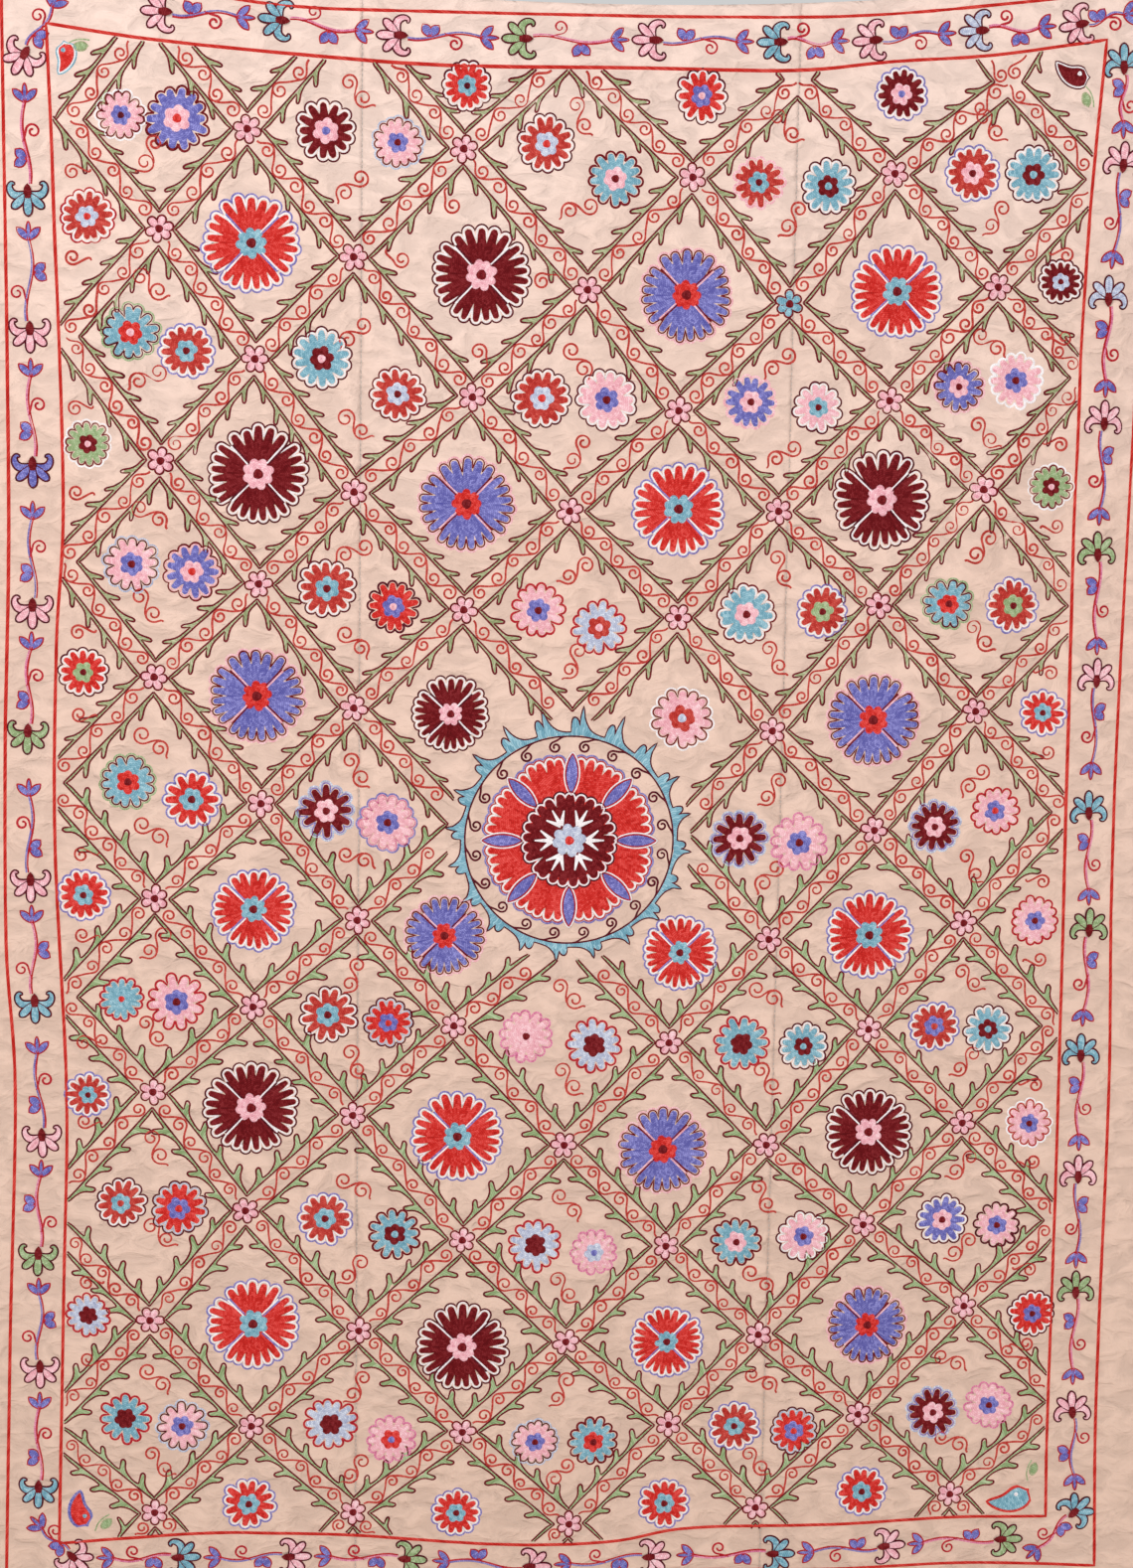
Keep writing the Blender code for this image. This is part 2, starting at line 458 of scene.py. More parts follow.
def make_thread_material(thread, stitch=STITCH_LENGTH, lean=STITCH_V):
    """Chain-stitched floss. lean above 1 makes a roped row, whose stitches all slant one way."""
    material, tree, shader = new_material(thread.name, roughness=0.7)
    rows = add_node(tree, "SeparateXYZ", (add_node(tree, "UVMap", uv_map="Thread"),))
    row_number = add_node(tree, "Math", (rows.outputs["Y"],), operation="FLOOR")
    number, swell = stitch_pattern(tree, rows, row_number, stitch, lean)
    seed = add_node(tree, "CombineXYZ", (number, row_number))
    own = add_node(tree, "TexWhiteNoise", {"Vector": seed}, noise_dimensions="2D")
    lengthwise = add_node(tree, "Math", (rows.outputs["X"], STREAKS_PER_M), operation="MULTIPLY")
    crosswise = add_node(tree, "Math", (row_number, ROW_STRIDE), operation="MULTIPLY")
    spot = add_node(tree, "CombineXYZ", (lengthwise, crosswise))
    streak = add_node(tree, "TexNoise", {"Vector": spot, "Scale": 1.0, "Detail": 1.0})
    place = add_node(tree, "TexCoord").outputs["Object"]
    fading = add_node(tree, "TexNoise", {"Vector": place, "Scale": FADES_PER_M, "Detail": 2.0})
    # the tone sums dye and fading, painted sheen and glints, and painted shade and light from each stitch's
    # swell
    tone = 0.0
    parts = (own, OWN_DYE_AND_GLINT), (streak, STREAK_DYE_AND_SHEEN), (fading, FADE_TONE), (swell, SWELL_PAINTED_SHADE)
    for part, share in parts:
        tone = add_node(tree, "Math", (part, share, tone), operation="MULTIPLY_ADD")
    colour = add_node(tree, "ValToRGB", {"Fac": tone})
    set_stops(colour, [(0.28, thread.dark), (0.62, thread.base), (1.0, thread.light)])
    bump = add_node(tree, "Bump", {"Strength": 0.6, "Distance": STITCH_BUMP, "Height": swell})
    tree.links.new(colour.outputs[0], shader.inputs["Base Color"])
    tree.links.new(bump.outputs[0], shader.inputs["Normal"])
    return material


floss = {letter: make_thread_material(thread) for letter, thread in THREADS.items()}
CORD_THREAD = Thread("scarlet cotton cord, couched", "#98140E", "#C42A23", "#DE564C")
floss["R"] = make_thread_material(CORD_THREAD, stitch=6 * MM, lean=1.6)
print("the scarlet floss has", len(floss["r"].node_tree.nodes), "nodes")

# %% [markdown]
# ## Laying stitches on the cloth
#
# Every kind of stitching here is a grid of points in the plane of the cloth, lifted a little off it. A row
# is a grid three points wide: two edges on the cloth and a raised middle. A filled shape is a wider grid
# with a ridge for each row. The grids of one thread are gathered as arrays and become one joined mesh, as
# that is far quicker than making thousands of objects.
#
# The back of the cloth shows the same threads as thin flat lines, so each row also leaves a simpler copy
# there, with fewer points.

# %% Gather the stitching


class Stitching:
    """Grids of stitches in one or more threads, gathered as arrays until they are made into a piece."""

    def __init__(self, side):
        self.side = side
        self.points = []
        self.quads = []
        self.maps = []
        self.letters = []
        self.count = 0

    def add(self, letter, flat, lift, along, across):
        """flat holds the x and z of each point of a grid. lift is its height above the cloth, and along and
        across are its two numbers in the map. Each of these may also be one row, one column or one number."""
        rows, columns = flat.shape[:2]
        lift, along, across = (np.broadcast_to(each, (rows, columns)) for each in (lift, along, across))
        x, z = flat[..., 0], flat[..., 1]
        y = depth(x, z) - lift if self.side == "front" else depth(x, z) + CLOTH + lift
        index = self.count + np.arange(rows * columns).reshape(rows, columns)
        quads = np.stack([index[:-1, :-1], index[:-1, 1:], index[1:, 1:], index[1:, :-1]], -1).reshape(-1, 4)
        one, two = flat[1:, 1:] - flat[:-1, :-1], flat[1:, :-1] - flat[:-1, 1:]
        turning = float((one[..., 0] * two[..., 1] - one[..., 1] * two[..., 0]).sum())
        if (turning < 0) == (self.side == "front"):
            quads = quads[:, ::-1]
        self.points.append(np.stack([x, y, z], -1).reshape(-1, 3))
        self.quads.append(quads)
        self.maps.append(np.stack([along, across], -1).reshape(-1, 2))
        self.letters.append((letter, len(quads)))
        self.count += rows * columns


front = {letter: Stitching("front") for letter in floss}
back = Stitching("back")
print("ready for", len(front), "threads")

# %% Lines and curves in the plane of the cloth


def unit(vector):
    """The same direction, one long."""
    return vector / np.hypot(*vector)


def left_of(vector):
    """The same vector turned a quarter to its left."""
    return np.stack([-vector[..., 1], vector[..., 0]], -1)


def smooth(points, steps):
    """A soft curve through the points, which may have more numbers than an x and a z."""
    p = np.asarray(points, float)
    p = np.concatenate([2 * p[:1] - p[1:2], p, 2 * p[-1:] - p[-2:-1]])
    a, b, c, d = p[:-3], p[1:-2], p[2:-1], p[3:]
    t = np.linspace(0, 1, steps, endpoint=False)[None, :, None]
    a, b, c, d = a[:, None], b[:, None], c[:, None], d[:, None]
    curve = (2 * b + (c - a) * t + (2 * a - 5 * b + 4 * c - d) * t**2 + (3 * b - a - 3 * c + d) * t**3) / 2
    return np.concatenate([curve.reshape(-1, p.shape[1]), p[-2:-1]])


print("a soft curve through 3 points has", len(smooth([(0, 0), (1, 1), (2, 0)], 6)))

# %% How many points a line needs


def thin_out(path, tolerance):
    """Keeps only the points that the line needs to stay within the tolerance."""
    keep = np.zeros(len(path), bool)
    keep[[0, -1]] = True
    spans = [(0, len(path) - 1)]
    while spans:
        first, last = spans.pop()
        if last - first < 2:
            continue
        chord, offsets = path[last] - path[first], path[first + 1 : last] - path[first]
        length = np.hypot(*chord)
        if length < 1e-6:
            away = np.hypot(offsets[:, 0], offsets[:, 1])
        else:
            away = np.abs(chord[0] * offsets[:, 1] - chord[1] * offsets[:, 0]) / length
        far = int(np.argmax(away))
        if away[far] > tolerance:
            middle = first + 1 + far
            keep[middle] = True
            spans += [(first, middle), (middle, last)]
    return path[keep]


def fill_in(path, longest):
    """Adds points so that no step is too long to follow the folds of the cloth."""
    parts = []
    for start, end in zip(path[:-1], path[1:]):
        pieces = max(1, math.ceil(np.hypot(*(end - start)) / longest))
        parts.append(start + (end - start) * (np.arange(pieces) / pieces)[:, None])
    return np.concatenate(parts + [path[-1:]])


def length_along(path):
    """How far along the path each of its points lies, with a start of its own for each row."""
    return np.concatenate([[0], np.cumsum(np.hypot(*(path[1:] - path[:-1]).T))]) + hand.random()


print("a straight line of 5 points needs", len(thin_out(np.linspace((0, 0), (1, 1), 5), 0.1)))

# %% Place a shape


def ahead(lengths):
    """Points straight ahead of 0, 0 at these lengths."""
    return np.stack([lengths, 0 * lengths], -1)


def polar_line(centre, radius, angles):
    """Points at these distances and angles from a centre."""
    return np.stack([radius * np.cos(angles), radius * np.sin(angles)], -1) + centre


def place(shape, centre, turn=0.0, mirror=1):
    """A shape drawn about 0, 0 and pointing to the right, moved to its place and turned."""
    shape = np.asarray(shape, float) * (1, mirror)
    c, s = math.cos(turn), math.sin(turn)
    x, z = shape[..., 0], shape[..., 1]
    return np.stack([x * c - z * s, x * s + z * c], -1) + centre


print("a quarter turn of", (1, 0), "is", tuple(place([(1, 0)], (0, 0), math.pi / 2)[0].round(3)))

# %% Rows of stitches
ROW_WIDTH = 2.9 * MM
ROW_RISE = 0.9 * MM
SUNK = 0.15 * MM  # the edges of a row lie this far inside the cloth, so that no gap shows
FOLLOW = 9 * MM  # longest step of a row on the front
BACK_WIDTH = 1.7 * MM
BACK_RISE = 0.45 * MM
BACK_TOLERANCE = 0.9 * MM
BACK_FOLLOW = 30 * MM


def sides_of(path, closed):
    """The direction to the left of the path at each of its points."""
    if closed:
        run = np.roll(path[:-1], -1, axis=0) - np.roll(path[:-1], 1, axis=0)
        run = np.concatenate([run, run[:1]])
    else:
        run = np.gradient(path, axis=0)
    return left_of(run / np.maximum(np.hypot(run[:, 0], run[:, 1]), 1e-9)[:, None])


def work_row(letter, path, width=ROW_WIDTH, rise=ROW_RISE, base=0.0, closed=False, tolerance=0.17 * MM):
    """One row of stitches along a path, on the cloth or on stitching that has a height of base."""
    for stitching, fit, longest, spread, heights in (
        (front[letter], tolerance, FOLLOW, width, [base - SUNK, base + rise, base - SUNK]),
        (back, BACK_TOLERANCE, BACK_FOLLOW, BACK_WIDTH, [BACK_RISE, BACK_RISE]),
    ):
        line = fill_in(thin_out(np.asarray(path, float), fit), longest)
        columns = np.linspace(0, 1, len(heights))
        flat = line[:, None] + sides_of(line, closed)[:, None] * ((columns - 0.5) * spread)[:, None]
        stitching.add(letter, flat, heights, length_along(line)[:, None], columns)


print("a row is", ROW_WIDTH / MM, "mm wide and", ROW_RISE / MM, "mm high")

# %% Fillings: fans and leaves
FILL_RISE = 0.85 * MM
BACK_FILL_RISE = BACK_RISE * 0.8
RIDGE = 0.25 * MM  # each row of a filling stands this far above the valleys beside it
ON_FILL = 1.1 * MM  # the base of what is worked over a filling


def work_grid(letter, flat, along, rise, base=0.0, open_start=False):
    """A filled shape. flat is a grid of points whose columns are, by turns, a valley and a ridge."""
    steps, columns = flat.shape[:2]
    ridge = np.where(np.arange(columns) % 2, RIDGE, 0.0)
    crown = np.sin(np.pi * np.linspace(0.5 if open_start else 0, 1, steps)) ** 0.5
    heights = base + rise * (0.75 + 0.25 * crown[:, None]) + ridge[None, :]
    heights[-1] = base - SUNK
    if not open_start:
        heights[0] = base - SUNK
    front[letter].add(letter, flat, heights, along, np.arange(columns) / 2)


def work_fan(letter, centre, inner, outer, angles, steps, rise=FILL_RISE, base=0.0):
    """Rows that run out from a centre, between two radii that may differ from angle to angle."""
    share = np.linspace(0, 1, steps + 1)[:, None]
    radius = inner + (outer - inner)[None, :] * share
    flat = polar_line(centre, radius, angles)
    work_grid(letter, flat, radius, rise, base, open_start=True)
    few = np.unique(np.linspace(0, len(angles) - 1, max(3, len(angles) // 4)).astype(int))
    ends = np.ix_([0, steps], few)
    back.add(letter, flat[ends], BACK_FILL_RISE, radius[ends], few / 2)


def leaf_edges(spine, half_widths, spare=0.0):
    """The two edges of a leaf, or lines the spare distance outside them."""
    side = sides_of(spine, False) * (np.asarray(half_widths) + spare)[:, None]
    return spine + side, spine - side


def between_lines(one, two, columns):
    """A grid whose first and last columns are two lines."""
    return one[:, None] + (two - one)[:, None] * np.linspace(0, 1, columns)[:, None]


def work_leaf(letter, spine, half_widths, rows=2, rise=FILL_RISE, base=0.0):
    """Rows that run along a spine and fill its width."""
    flat = between_lines(*leaf_edges(spine, half_widths), 2 * rows + 1)
    along = length_along(spine)
    work_grid(letter, flat, along[:, None], rise, base)
    back.add(letter, flat[::2, [0, -1]], BACK_FILL_RISE, along[::2, None], [0, rows])


def outline_of(spine, half_widths, spare):
    """A closed line round a leaf, the spare distance outside its edge."""
    run = unit(spine[-1] - spine[-2])
    start = unit(spine[1] - spine[0])
    one, two = leaf_edges(spine, half_widths, spare)
    tip, heel = spine[-1:] + run * spare, spine[:1] - start * spare
    return np.concatenate([heel, one, tip, two[::-1], heel])


print("a filling is", FILL_RISE / MM, "mm high")

# %% [markdown]
# ## The frame and the border band
#
# Two red cords frame the border, and they follow the top edge's sag. Between them lies a band about 65 mm
# wide. The lines waver, as lines drawn by hand do, so each is charted by a few places along it, in mm.

# %% The red frame lines
FRAME_CORD_WIDTH = 5.0 * MM
FRAME_CORD_RISE = 1.7 * MM
FRAME = {
    "inner top": [(-713, -45), (-577, -62), (-381, -77), (-182, -87), (86, -84), (289, -81), (426, -65),
                  (563, -53), (722, -28)],
    "inner right": [(722, -28), (712, -176), (702, -377), (700, -651), (704, -1072), (709, -1360),
                    (712, -1956), (716, -2150)],
    "inner bottom": [(-726, -2160), (-527, -2144), (-385, -2151), (-170, -2167), (62, -2174), (194, -2157),
                     (503, -2150), (716, -2150)],
    "inner left": [(-713, -45), (-706, -273), (-699, -668), (-711, -870), (-717, -1144), (-706, -1495),
                   (-714, -1783), (-726, -2160)],
    "outer top": [(-771, 38), (-600, 15), (-407, -13), (-182, -16), (170, -13), (424, -2), (787, 42)],
    "outer right": [(787, 42), (783, -400), (776, -930), (777, -1215), (785, -1507), (784, -1957),
                    (791, -2226)],
    "outer bottom": [(-802, -2226), (-200, -2226), (450, -2220), (791, -2226)],
    "outer left": [(-771, 38), (-771, -669), (-782, -1006), (-786, -1283), (-777, -1495), (-790, -1850),
                   (-802, -2226)],
}


def frame_z(side, x):
    """Height of a frame line that runs across the cloth, at x."""
    bends = np.array(FRAME[side]) * MM
    return np.interp(x, bends[:, 0], bends[:, 1])


def frame_x(side, z):
    """x of a frame line that runs down the cloth, at the height z."""
    bends = np.array(FRAME[side])[::-1] * MM
    return np.interp(z, bends[:, 1], bends[:, 0])


for ring in ("inner", "outer"):
    sides = [smooth(FRAME[f"{ring} {side}"], 8) for side in ("top", "right", "bottom", "left")]
    line = np.concatenate([sides[0], sides[1][1:], sides[2][::-1][1:], sides[3][::-1][1:]]) * MM
    work_row("R", line, width=FRAME_CORD_WIDTH, rise=FRAME_CORD_RISE, closed=True)
print("frame cords:", front["R"].count, "points")

# %% [markdown]
# ## The seams
#
# The panels are joined edge to edge with grey sewing thread, over and over in short stitches with a gap
# after each. They are small rows like all others, only thinner.

# %% The seams' stitches
SEAM_STITCH, SEAM_STITCH_PITCH = 3.5 * MM, 7 * MM
SEWING_WIDTH, SEWING_RISE = 1.3 * MM, 0.4 * MM
for head_x in SEAM_X.values():
    for z in np.arange(-DROP + 20 * MM, -10 * MM, SEAM_STITCH_PITCH):
        ends = [(seam_x(head_x, -end_z / DROP), end_z) for end_z in (z, z + SEAM_STITCH)]
        work_row("e", ends, width=SEWING_WIDTH, rise=SEWING_RISE)
print("seam stitches:", front["e"].count // 6)

# %% [markdown]
# ## The lattice
#
# The trellis is a diagonal lattice. Its crossings lie on eleven columns, taken two by two, and on rows that
# sink in the middle, as the cloth sags there. A row is told by three heights, at the left, in the middle and
# at the right, and a parabola runs through them. An even column meets an odd row at a crossing, and an odd
# column an even row. The other places are the middles of the openings: one large rosette where both are
# even, a pair of small ones where both are odd.

# %% Columns and rows of the lattice
COLUMN_X = [-0.858, -0.715, -0.581, -0.448, -0.306, -0.155, -0.003, 0.143, 0.281, 0.428, 0.571, 0.712, 0.855]
FIRST_COLUMN = FIRST_ROW = -1
LAST_COLUMN, LAST_ROW = 10, 15  # the last ones with crossings on the frame
Level = namedtuple("Level", "left middle right")
LEVELS = [
    Level(0.150, 0.100, 0.110),  # row -1, above the frame
    Level(0.005, -0.052, -0.048),
    Level(-0.149, -0.210, -0.209),
    Level(-0.299, -0.375, -0.370),
    Level(-0.445, -0.537, -0.501),
    Level(-0.612, -0.677, -0.640),
    Level(-0.753, -0.824, -0.783),
    Level(-0.912, -0.976, -0.954),
    Level(-1.065, -1.124, -1.113),
    Level(-1.217, -1.274, -1.252),
    Level(-1.347, -1.419, -1.398),
    Level(-1.491, -1.572, -1.552),
    Level(-1.638, -1.726, -1.673),
    Level(-1.826, -1.868, -1.828),
    Level(-1.974, -2.002, -1.969),
    Level(-2.115, -2.127, -2.113),
    Level(-2.262, -2.278, -2.260),  # row 15, below the frame
    Level(-2.412, -2.428, -2.410),
]
LEVEL_X = 0.58  # the left and right heights are those at this distance from the middle
MID_Z = -1.10  # above this the stems and vines grow down, and below it up
print(len(COLUMN_X), "columns and", len(LEVELS), "rows, with those just outside the frame")

# %% The crossings, as they were drawn
SHIFTS = [  # how far each crossing was drawn off its place: mm right and up, rows 0 to 15, columns in order
    "4,-33 -8,4 -15,-17 13,-38 16,-42",
    "31,-43 -1,-7 -4,5 10,-10 4,1 8,-15",
    "14,-10 -1,4 14,-4 9,-10 9,6",
    "22,-48 8,-2 10,-1 -4,0 5,1 -5,-11",
    "14,-6 0,-1 -7,-2 0,-4 -3,-1",
    "14,-34 12,-4 0,0 0,0 -3,0 4,-46",
    "2,0 0,0 0,0 -2,-6 -3,2",
    "-8,-17 14,-2 0,0 0,0 0,0 -8,4",
    "0,-3 5,3 0,0 0,-6 -10,-3",
    "6,-43 2,-2 -10,7 -2,-6 0,2 -10,-28",
    "-5,-4 -1,11 -4,-4 3,-4 -1,3",
    "-28,-72 -10,3 4,2 -1,-2 0,2 3,-55",
    "-12,0 8,8 2,1 -2,-3 11,4",
    "-28,-26 -3,0 6,0 8,2 0,0 18,-20",
    "-8,3 0,2 10,-16 0,-2 0,0",
    "-10,-20 0,0 0,0 0,0 0,0 10,-20",
]


def is_crossing(column, row):
    return (column + row) % 2 == 1


def has_flower(column, row):
    """The crossings on the frame have no flower."""
    return is_crossing(column, row) and 0 < column < LAST_COLUMN and 0 < row < LAST_ROW


def crossing_shift(column, row):
    if not is_crossing(column, row) or not (0 <= column <= LAST_COLUMN and 0 <= row <= LAST_ROW):
        return np.zeros(2)
    word = SHIFTS[row].split()[column // 2]
    return np.array([float(number) for number in word.split(",")]) * MM


def lattice(column, row):
    """The place of one lattice point."""
    x = COLUMN_X[column - FIRST_COLUMN]
    level, share = LEVELS[row - FIRST_ROW], x / LEVEL_X
    bow = (level.left + level.right) / 2 - level.middle
    z = level.middle + (level.right - level.left) / 2 * share + bow * share**2
    return np.array([x, z]) + crossing_shift(column, row)


print("crossing nearest the upper left corner:", lattice(2, 1).round(3))

# %% What lies in the field
RING_CENTRE = np.array([-0.005, -1.137])
RING_RADIUS = 0.147
RING_CLEAR = 0.171  # the trellis stops this far from the ring's centre
RING_OPENING = (5, 7)
CORD_CLEAR = 3.5 * MM  # from the frame line to what is worked in the field
FIELD_SAMPLES = 120


def in_upper_half(one, two):
    return (one[1] + two[1]) / 2 > MID_Z


def in_field(points, margin=CORD_CLEAR):
    """Which points lie inside the inner frame and clear of the ring."""
    x, z = points[..., 0], points[..., 1]
    inside = (x > frame_x("inner left", z) + margin) & (x < frame_x("inner right", z) - margin)
    inside &= (z < frame_z("inner top", x) - margin) & (z > frame_z("inner bottom", x) + margin)
    return inside & (np.hypot(*(points - RING_CENTRE).T) > RING_CLEAR)


def inside_part(start, end):
    """The longest stretch of a straight line that lies in the field, or None."""
    line = start + (end - start) * np.linspace(0, 1, FIELD_SAMPLES)[:, None]
    marks = np.flatnonzero(np.diff(np.concatenate([[False], in_field(line), [False]]).astype(int)))
    first, last = max(marks.reshape(-1, 2), key=lambda run: run[1] - run[0], default=(0, 0))
    return (line[first], line[last - 1]) if last - first > 1 else None


places = [(column, row) for row in range(LAST_ROW + 1) for column in range(LAST_COLUMN + 1)]
openings = [place for place in places if not is_crossing(*place)]
print(len(openings), "openings, with those that the frame cuts")

# %% [markdown]
# ## The barbed stems
#
# Each opening of the trellis is edged by four stems. A stem is a dark outline with a green filling. It
# swells, parts into a barb, and is thin again. In the upper half of the cloth the stems grow down, in the
# lower half up, so every barb points into its opening, about 45 degrees off its stem. One barb is charted
# for each half, and repeated. The barbs in the upper half are slim, those in the lower half full.

# %% The barbs' charts
Barb = namedtuple("Barb", "along out foot")  # mm along the stem, out from its middle, along its plain side
Half = namedtuple("Half", "barb pitch leaf")  # for half the cloth: the barb, mm to the next, the thread
UPPER = Half(np.array([
    Barb(0, 1.8, 0), Barb(8, 2.2, 8), Barb(15, 3.8, 13), Barb(20.5, 6.8, 16.5), Barb(25.5, 10.2, 19),
    Barb(29, 12.6, 20.5), Barb(32.6, 13.2, 22), Barb(33.2, 10.6, 22.6), Barb(29.4, 6.8, 23.4),
    Barb(24.5, 1.8, 24.5),
]), 35.0, "s")
LOWER = Half(np.array([
    Barb(0, 1.6, 0), Barb(9, 2.6, 9), Barb(17, 4.6, 15), Barb(23, 8.0, 19), Barb(27, 12.2, 22),
    Barb(30.4, 15.8, 24), Barb(34.8, 16.6, 25.4), Barb(36.2, 13.6, 26.4), Barb(33.0, 8.8, 27.6),
    Barb(30, 3.0, 29),
]), 38.0, "g")
print("a slim barb stands out", UPPER.barb[:, 1].max(), "mm, a full one", LOWER.barb[:, 1].max(), "mm")

# %% One barbed stem
STEM_HALF = 2.1 * MM  # from the middle of the stem to each outline
STEM_WIDTH = 3.2 * MM  # of each outline
STEM_TIP = 0.3 * MM
STEM_FILLING = np.array([-0.1, 0.55, -0.1]) * MM  # its height at both edges and in the middle
FIRST_BARB = 4 * MM  # the stem is bare before this, and over its last stretch
LAST_BARB = 22 * MM
THORN_FROM = 4  # mm out from the stem, past which a barb is its own size


def barbed_side(start, end, inward):
    """A stem that grows from start to end, with its barbs towards inward."""
    half = UPPER if in_upper_half(start, end) else LOWER
    length = np.hypot(*(end - start))
    run = (end - start) / length
    out = left_of(run) if left_of(run) @ inward > 0 else -left_of(run)
    room = length - FIRST_BARB - LAST_BARB
    count = round(room / MM / half.pitch)
    line = [(0.0, STEM_TIP, 0.0)]  # along, out and foot, as in the charts
    for number in range(count):
        size = hand.uniform(0.86, 1.14)
        begin = FIRST_BARB + room * number / count
        squeeze = room / count / MM / half.pitch
        swell = np.where(half.barb[:, 1] > THORN_FROM, 1 + (size - 1) * 1.4, 1.0)
        scale = np.column_stack(np.broadcast_arrays(squeeze, swell, squeeze))
        line += list(half.barb * scale * MM + (begin, 0, begin))
    bare = length - LAST_BARB * 0.5
    line = smooth(line + [(bare, STEM_HALF, bare), (length, STEM_TIP, length)], 3)
    foot = np.maximum.accumulate(line[:, 2])[:, None]
    barbed = start + run * line[:, :1] + out * line[:, 1:2]
    plain = start + run * foot - out * STEM_HALF
    work_row("D", barbed, width=STEM_WIDTH, tolerance=0.14 * MM)
    flat = between_lines(plain[::2], barbed[::2], len(STEM_FILLING))
    front[half.leaf].add(half.leaf, flat, STEM_FILLING, foot[::2], [0.0, 0.5, 1.0])


print("a stem is", 2 * STEM_HALF / MM, "mm between its outlines, and", STEM_WIDTH / MM, "mm is each of them")

# %% Four stems round each opening
STEM_INSET = 16 * MM  # from the line between two crossings
RUN_ON = 30 * MM  # far enough to reach the frame


def inset_corner(before, corner, after, inset):
    """The corner of a closed shape, moved inwards by the inset from both of its sides."""
    one, two = unit(before - corner), unit(after - corner)
    middle = unit(one + two)
    return corner + middle * inset / math.sin(math.acos(np.clip(one @ two, -1, 1)) / 2)


def edge_opening(column, row):
    """The four stems round one opening."""
    centre = lattice(column, row)
    around = (column, row - 1), (column + 1, row), (column, row + 1), (column - 1, row)
    corners = [lattice(*crossing) for crossing in around]
    plain, stem = [], []
    for i in range(4):
        three = corners[i - 1], corners[i], corners[(i + 1) % 4]
        plain.append(inset_corner(*three, STEM_INSET - STEM_HALF))
        stem.append(inset_corner(*three, STEM_INSET))
    for line in (plain, stem) if column in (0, LAST_COLUMN) else ():  # here they run on to the red frame
        corner = line[1] if column == 0 else line[3]
        for i in (0, 2):
            line[i] = line[i] + unit(line[i] - corner) * RUN_ON
    for i in {0: (0, 1), LAST_COLUMN: (2, 3)}.get(column, range(4)):
        j = (i + 1) % 4
        part = inside_part(plain[i], plain[j])
        if part is not None:
            work_row("D", np.array(part), width=STEM_WIDTH)
        part = inside_part(stem[i], stem[j])
        if part is None:
            continue
        top, foot = sorted(part, key=lambda point: -point[1])
        start, end = (top, foot) if in_upper_half(top, foot) else (foot, top)
        barbed_side(start, end, centre - (start + end) / 2)


for opening in openings:
    if opening != RING_OPENING:
        edge_opening(*opening)
print("stem outlines:", front["D"].count, "points in", len(front["D"].quads), "rows")

# %% [markdown]
# ## The scrolling vines
#
# Between two stems runs a coral vine. It is a scroll: each spiral springs from the shoulder of the one
# before, crosses to the other side and curls in. One function draws a single curl, from a start and a
# heading to the point where it touches its spiral, and then inwards. A scroll is a chain of curls.

# %% One curl
SPIRAL_TURNS = 1.35
SPIRAL_CORE = 0.28  # radius at the inner end, as a share of the outer radius
SPIRAL_ROUND = 0.15  # the first share of a spiral, which keeps its full radius
REACH = 0.42  # how straight a curl leaves its start, as a share of the way to its spiral
WRAP = 0.12  # radians by which a curl wraps its spiral more than a plain tangent would


def curl(start, heading, centre, radius, sense, turns=SPIRAL_TURNS):
    """A line from start that curls into a spiral. sense is 1 for anticlockwise, -1 for clockwise."""
    to_start = start - centre
    distance = max(np.hypot(*to_start), radius * 1.02)
    touch = math.atan2(to_start[1], to_start[0]) + sense * (math.acos(radius / distance) - WRAP)
    entry = centre + radius * np.array([math.cos(touch), math.sin(touch)])
    entering = sense * np.array([-math.sin(touch), math.cos(touch)])
    reach = REACH * np.hypot(*(entry - start))
    t = np.linspace(0, 1, 8, endpoint=False)[:, None]
    lead = (1 - t) ** 3 * start + 3 * (1 - t) ** 2 * t * (start + heading * reach)
    lead = lead + 3 * (1 - t) * t**2 * (entry - entering * reach) + t**3 * entry
    t = np.linspace(0, 1, 28)
    winding = np.clip((t - SPIRAL_ROUND) / (1 - SPIRAL_ROUND), 0, 1) ** 0.85
    angles = touch + sense * t * turns * math.tau
    spiral = polar_line(centre, radius * (1 - (1 - SPIRAL_CORE) * winding), angles)
    return np.concatenate([lead, spiral])


print("a curl has", len(curl(np.zeros(2), np.array([1, 0]), np.array([0.02, 0.01]), 0.01, 1)), "points")

# %% A chain of curls
VINE_WIDTH = 3.4 * MM
VINE_RISE = 0.75 * MM
VINE_PITCH = 31 * MM
VINE_RADIUS = 9.6 * MM
FLOWER_CLEAR = 20 * MM
FRAME_CLEAR = 2 * MM
SHOULDER = math.radians(35)  # where on a spiral the next curl springs from it
SPIRAL_SHIFT = 0.62  # a spiral lies this share of the pitch ahead of its curl's start
SPIRAL_OFFSET = 0.14  # and this share of its radius beside the line
UNEVEN = 0.6 * MM


def work_scroll(start, end, spirals, radius, side):
    """A chain of spirals from start to end, on alternate sides of the line between them."""
    length = np.hypot(*(end - start))
    run = (end - start) / length
    across = left_of(run)
    pitch = length / spirals
    here, heading = start, run
    for number in range(spirals):
        size = radius * hand.uniform(0.92, 1.08)
        offset = side * SPIRAL_OFFSET * radius
        centre = start + run * pitch * (number + SPIRAL_SHIFT) + across * offset + hand.normal(0, UNEVEN, 2)
        work_row("k", curl(here, heading, centre, size, -side), width=VINE_WIDTH, rise=VINE_RISE)
        here = centre + size * (run * math.sin(SHOULDER) + across * side * math.cos(SHOULDER))
        heading = run * math.cos(SHOULDER) - across * side * math.sin(SHOULDER)
        side = -side


